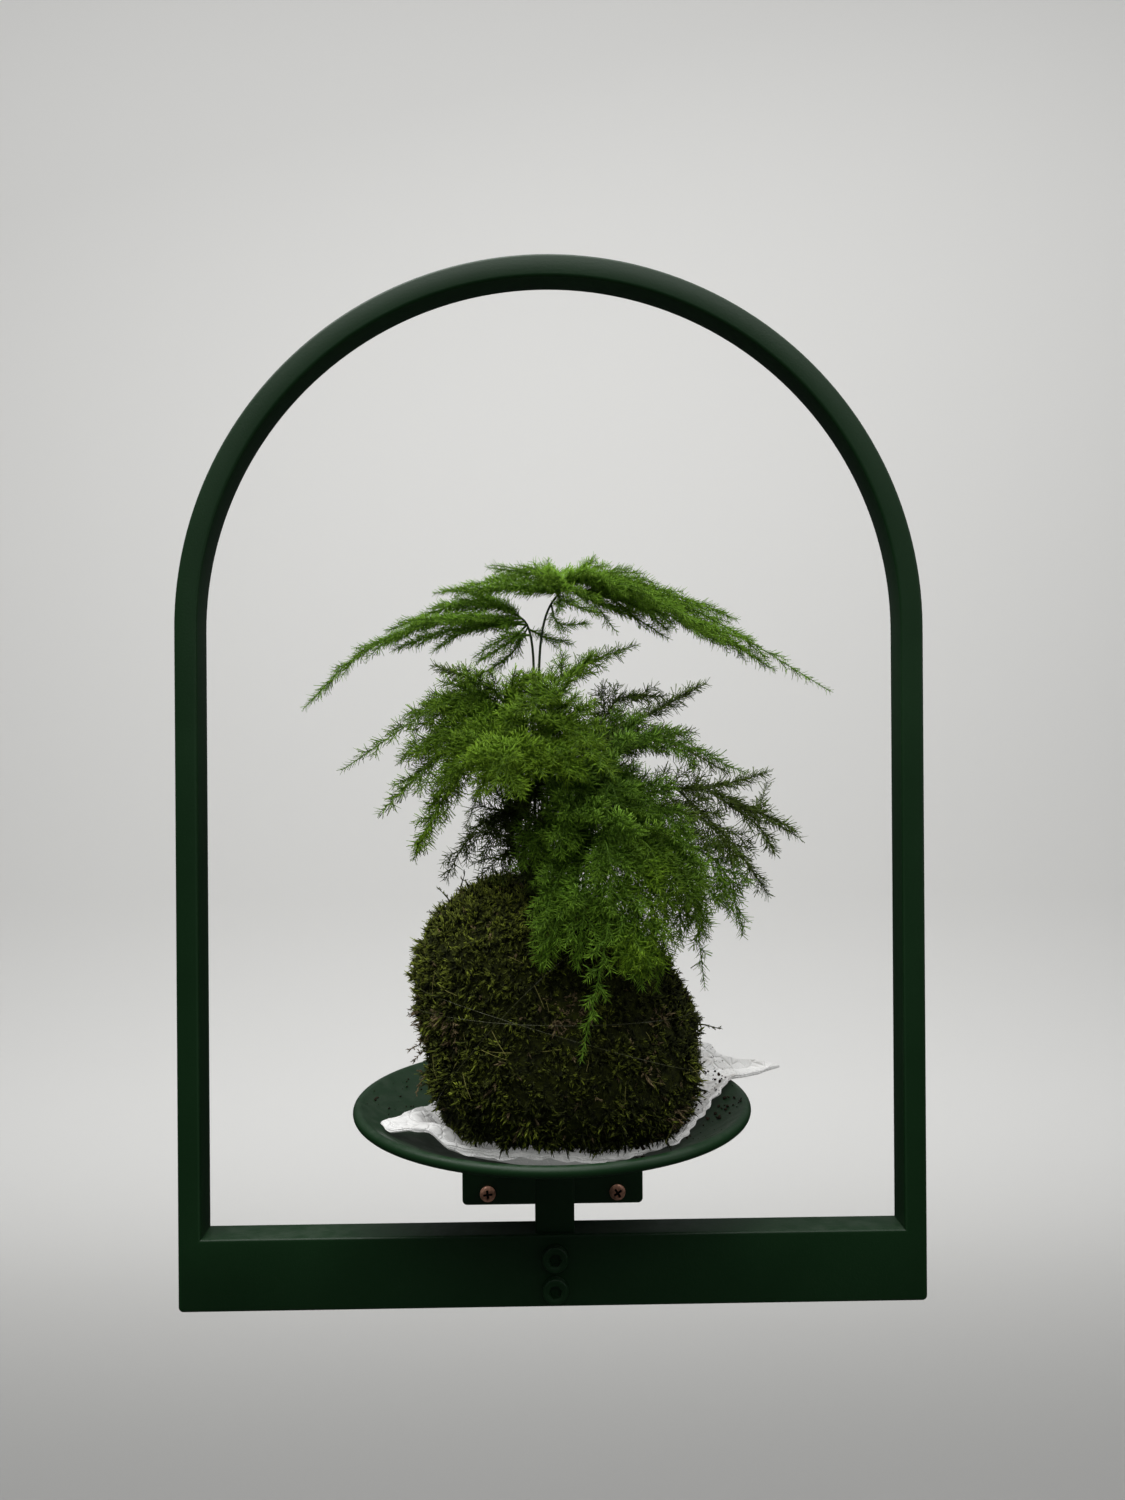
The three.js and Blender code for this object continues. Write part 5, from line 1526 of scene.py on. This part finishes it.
def camera_matrix():
    """The photograph's camera: almost level, turned a little to the right."""
    right = Vector((math.cos(CAMERA_YAW), math.sin(CAMERA_YAW), 0))
    forward = Vector((-math.sin(CAMERA_YAW), math.cos(CAMERA_YAW), 0))
    up = Vector((0, 0, 1))
    image_right = right * math.cos(CAMERA_ROLL) + up * math.sin(CAMERA_ROLL)
    image_up = up * math.cos(CAMERA_ROLL) - right * math.sin(CAMERA_ROLL)
    turn = Matrix((image_right, image_up, -forward)).transposed()
    return Matrix.Translation(CAMERA_PLACE) @ turn.to_4x4()


def floor_sweep(sizes):
    """A wide floor that curves up into the backdrop."""
    bm = bmesh.new()
    bend = 0.6
    profile = [(FLOOR_FRONT, sizes.floor)]
    for k in range(17):
        angle = math.pi / 2 * k / 16
        profile.append((
            sizes.backdrop - bend + bend * math.sin(angle), sizes.floor + bend - bend * math.cos(angle)))
    profile.append((sizes.backdrop, BACKDROP_TOP))
    points = [bm.verts.new((-FLOOR_HALF, y, z)) for y, z in profile]
    edges = [bm.edges.new(pair) for pair in zip(points, points[1:])]
    grown = bmesh.ops.extrude_edge_only(bm, edges=edges)["geom"]
    bmesh.ops.translate(bm, verts=only(bmesh.types.BMVert, grown), vec=(2 * FLOOR_HALF, 0, 0))
    return loose_object(bm, "floor")


def backdrop_with_painted_shade(pale):
    """A matt surface that is pale far back and high up, with painted shade that makes it greyer below the
    object.
    """
    def paint(start):
        away, up = (start.node("SeparateXYZ", {}, {0: place_of(start)}, output=axis) for axis in "YZ")
        # Painted shade: darker towards the front and low down.
        return {
            "Base Color": tint(start, step(start, away + up, -0.1, 1.3), darker(pale, 0.40), tuple(pale)),
            "Roughness": 0.9,
            "Specular IOR Level": 0.1,
        }
    return finish("pale_backdrop", paint)


def soft_light(name, place, target, size, strength):
    """A rectangular light at place that faces target."""
    lamp = bpy.data.lights.new(name, "AREA")
    lamp.shape = "RECTANGLE"
    lamp.size, lamp.size_y = size
    lamp.energy = strength
    made = bpy.data.objects.new(name, lamp)
    bpy.context.scene.collection.objects.link(made)
    turn = (Vector(target) - Vector(place)).to_track_quat("-Z", "Y")
    made.matrix_world = Matrix.Translation(place) @ turn.to_matrix().to_4x4()


class KOKEDAMA_OT_holder(Operator):
    """Make the arched frame with its rail, the post, the arm and the wall plate"""

    bl_idname = "kokedama.holder"
    bl_label = "Holder"

    def execute(self, context):
        settings = context.scene.kokedama
        sizes, dish = settings.holder, settings.dish
        coat = powder_coat(settings.colours.green)
        half = sizes.tube / 2
        back = sizes.tube_front + sizes.tube
        shapes = {
            "frame": (arched_frame(sizes), ["arch_frame", "bottom_rail"]),
            "dish_post": (rounded_box(
                (-half, sizes.tube_front, sizes.tube_bottom), (half, back, dish.floor - dish.wall - GAP),
                sizes.tube_edge), ["post"]),
            "wall_arm": (rounded_box(
                (-half, back + GAP, -half), (half, -sizes.plate_thickness - GAP, half),
                sizes.tube_edge), ["arm"]),
            "plate": (plate_shape(sizes), ["wall_plate"]),
        }
        for name, (bm, nodes) in shapes.items():
            dressed(loose_object(bm, name), coat, nodes, sharp=40)
        return {"FINISHED"}


class KOKEDAMA_OT_fixings(Operator):
    """Make the four wall screws and the two rail bolts"""

    bl_idname = "kokedama.fixings"
    bl_label = "Fixings"

    def execute(self, context):
        settings = context.scene.kokedama
        sizes, holder = settings.fixings, settings.holder
        seat = -holder.plate_thickness - GAP
        metal = bronzed_copper(
            settings.colours.copper, sizes.screw_across, sizes.screw_up, seat - sizes.screw_rise)
        places = [(x, z) for z in (-1, 1) for x in (-1, 1)]
        for k, (x, z) in enumerate(places):
            bm = screw_shape(sizes.screw_head, sizes.screw_rise, 0.35 + 0.5 * x / 2)
            facing_front(bm, (x * sizes.screw_across / 2, seat, z * sizes.screw_up / 2))
            screw = loose_object(bm, f"pan_screw_{k + 1}")
            dressed(screw, metal, [f"wall_screw_{k + 1}"], sharp=38)
        coat = bpy.data.materials["green_powder_coat"]
        for k, height in enumerate(BOLT_HEIGHTS):
            bm = bolt_shape(sizes.bolt_head, sizes.bolt_rise, sizes.bolt_socket)
            bmesh.ops.rotate(bm, verts=bm.verts, cent=(0, 0, 0), matrix=Matrix.Rotation(0.3 * k, 3, "Z"))
            facing_front(bm, (0, holder.front - GAP, height))
            bolt = loose_object(bm, f"cap_bolt_{k + 1}")
            dressed(bolt, coat, [f"rail_bolt_{k + 1}"], sharp=38)
        return {"FINISHED"}


class KOKEDAMA_OT_dish(Operator):
    """Make the spun dish"""

    bl_idname = "kokedama.dish"
    bl_label = "Dish"

    def execute(self, context):
        coat = bpy.data.materials["green_powder_coat"]
        piece = loose_object(dish_shape(context.scene.kokedama.dish), "spun_dish")
        dressed(piece, coat, ["dish"], sharp=50)
        return {"FINISHED"}


class KOKEDAMA_OT_tissue(Operator):
    """Make the crumpled tissue that the ball rests on"""

    bl_idname = "kokedama.tissue"
    bl_label = "Tissue"

    def execute(self, context):
        settings = context.scene.kokedama
        piece = loose_object(tissue_shape(settings.dish, settings.paper), "tissue")
        solid = piece.modifiers.new("plies", "SOLIDIFY")
        solid.thickness = settings.paper.thickness
        solid.offset = 1.0
        finished = tissue(settings.colours.paper, settings.colours.soil)
        dressed(piece, finished, ["paper_liner"], sharp=28)
        return {"FINISHED"}


class KOKEDAMA_OT_moss(Operator):
    """Make the moss ball: its felt, its strands, loose wisps and the binding thread"""

    bl_idname = "kokedama.moss"
    bl_label = "Moss"

    def execute(self, context):
        settings = context.scene.kokedama
        moss, colours = settings.moss, settings.colours
        ball = ball_piece("moss_felt", moss, 6, moss_surface(moss))
        dressed(ball, moss_mat(colours), ["moss_wrap"])
        green = moss_strand_finish(colours)
        draw = np.random.default_rng(7)
        for layer in range(MOSS_LAYERS):
            dressed(moss_strands(ball, moss, layer, draw), green)
        dressed(wispy(ball, draw), green)
        heap = Heap()
        for turn in THREAD_TURNS:
            course = thread_course(moss, *turn)
            add_tube(heap, course, np.full(len(course), moss.thread / 2))
        dressed(heap.piece("binding_thread"), nylon())
        return {"FINISHED"}


class KOKEDAMA_OT_soil(Operator):
    """Make the soil inside the moss and the crumbs in the dish"""

    bl_idname = "kokedama.soil"
    bl_label = "Soil"

    def execute(self, context):
        settings = context.scene.kokedama
        earth = peat(settings.colours.soil)
        core = ball_piece("soil", settings.moss, 5, soil_surface)
        dressed(core, earth, ["soil_core"])
        dressed(crumbs(settings), earth)
        return {"FINISHED"}


def crumb_unit(seed):
    """A small angular crumb about one unit across."""
    draw = random.Random(seed)
    bm = bmesh.new()
    bmesh.ops.create_icosphere(bm, subdivisions=1, radius=0.5)
    for vert in bm.verts:
        vert.co *= draw.uniform(0.6, 1.15)
    return unit_of(bm)


# Where crumbs lie: azimuth range in degrees, distance range from the dish's axis, how many, size range,
# and height of the pile. All lengths are in millimetres.
CRUMB_PILES = [
    (150, 188, 74, 96, 26, 0.5, 1.6, 0), (-14, 32, 70, 97, 90, 0.5, 2.3, 0),
    (-80, -20, 76, 95, 8, 0.4, 1.1, 0),
    (190, 260, 76, 96, 8, 0.4, 1.0, 0), (-52, -18, 52, 65, 190, 0.9, 2.6, 6),
    (-30, 10, 66, 74, 110, 0.7, 2.2, 3), (-110, -44, 50, 58, 36, 0.4, 1.3, 0),
]
CROWN_CRUMBS = 170


def crumbs(settings):
    """Peat crumbs in the dish, on the tissue, and in the crown among the stems."""
    dish, moss = settings.dish, settings.moss
    draw = np.random.default_rng(23)
    spots, sizes = [], []
    for low, high, near, far, count, least, most, pile in CRUMB_PILES:
        azimuth = draw.uniform(low, high, count)
        radius = draw.uniform(near, far, count) * MM
        size = draw.uniform(least, most, count) ** 1.3 * MM
        over = radius < tissue_edge(azimuth)[0]
        part = np.clip((radius - TISSUE_FLAT) / (tissue_edge(azimuth)[0] - TISSUE_FLAT), 0.001, 1)
        on_tissue = tissue_surface(azimuth, part, dish, settings.paper)[2] + settings.paper.thickness
        ground = np.where(over, on_tissue, dish_height(dish, radius))
        height = ground + size * 0.25 + draw.uniform(0, 1, count) * pile * MM
        angle = np.radians(azimuth)
        spots.append(np.column_stack(
            [dish.centre[0] + radius * np.cos(angle), dish.centre[1] + radius * np.sin(angle), height]))
        sizes.append(size)
    count = CROWN_CRUMBS
    turn = draw.uniform(0, 2 * math.pi, count)
    away = (moss.crown - 2 * MM) * np.sqrt(draw.random(count))
    top = np.column_stack([
        CROWN_PLACE[0] + away * np.cos(turn), CROWN_PLACE[1] + away * np.sin(turn), np.full(count, 0.15)])
    d = top - np.array(moss.centre)
    d /= np.linalg.norm(d, axis=1)[:, None]
    spots.append(np.array(moss.centre) + d * soil_surface(d)[:, None])
    sizes.append(draw.uniform(0.8, 2.8, count) * MM)
    spots, sizes = np.concatenate(spots), np.concatenate(sizes)
    count = len(spots)
    shapes = np.column_stack([
        sizes, sizes * draw.uniform(0.5, 1, count), sizes * draw.uniform(0.4, 0.8, count)])
    places = placements(spots, draw.normal(size=(count, 3)) + [0, 0, 2], draw.uniform(0, 6, count), shapes)
    heap = Heap()
    for k in range(4):
        heap.copies(crumb_unit(k), places[k::4])
    return heap.piece("soil_crumbs")


class KOKEDAMA_OT_fern(Operator):
    """Make the asparagus fern, one piece for each leafy stem"""

    bl_idname = "kokedama.fern"
    bl_label = "Fern"

    def execute(self, context):
        settings = context.scene.kokedama
        colours = settings.colours
        finishes = {
            "fresh": frond("fresh_frond", colours.fresh, FRESH_TIP, colours.stem),
            "leaf": frond("grown_frond", colours.leaf, LEAF_TIP, colours.stem),
            "deep": frond("old_frond", colours.deep, DEEP_TIP, colours.stem),
        }
        whorls = [
            whorl_unit(WHORL_NEEDLES, lean, NEEDLE_HALF, seed) for seed, lean in enumerate(WHORL_LEANS)]
        for index, stem in enumerate(STEMS):
            piece = fern_piece(stem, settings.fern, settings.moss, index, whorls)
            dressed(piece, finishes[stem[1]], [f"fern_{stem[0]}"])
        return {"FINISHED"}


class KOKEDAMA_PT_panel(Panel):
    """Lists the steps that make the kokedama and its holder"""

    bl_idname = "KOKEDAMA_PT_panel"
    bl_label = "Kokedama"
    bl_space_type = "VIEW_3D"
    bl_region_type = "UI"
    bl_category = "Kokedama"

    def draw(self, context):
        for operator in OPERATORS:
            self.layout.operator(operator.bl_idname)


OPERATORS = [
    KOKEDAMA_OT_stage, KOKEDAMA_OT_holder, KOKEDAMA_OT_fixings, KOKEDAMA_OT_dish, KOKEDAMA_OT_tissue,
    KOKEDAMA_OT_moss, KOKEDAMA_OT_soil, KOKEDAMA_OT_fern,
]
GROUPS = [
    HolderSizes, FixingSizes, DishSizes, PaperSizes, MossSizes, FernSizes, Colours, StageSizes,
    KokedamaSettings,
]


def register():
    for item in [*GROUPS, *OPERATORS, KOKEDAMA_PT_panel]:
        bpy.utils.register_class(item)
    bpy.types.Scene.kokedama = PointerProperty(type=KokedamaSettings)


def unregister():
    del bpy.types.Scene.kokedama
    for item in reversed([*GROUPS, *OPERATORS, KOKEDAMA_PT_panel]):
        bpy.utils.unregister_class(item)


def main():
    register()
    bpy.ops.kokedama.stage()
    bpy.ops.kokedama.holder()
    bpy.ops.kokedama.fixings()
    bpy.ops.kokedama.dish()
    bpy.ops.kokedama.tissue()
    bpy.ops.kokedama.moss()
    bpy.ops.kokedama.soil()
    bpy.ops.kokedama.fern()


if __name__ == "__main__":
    main()
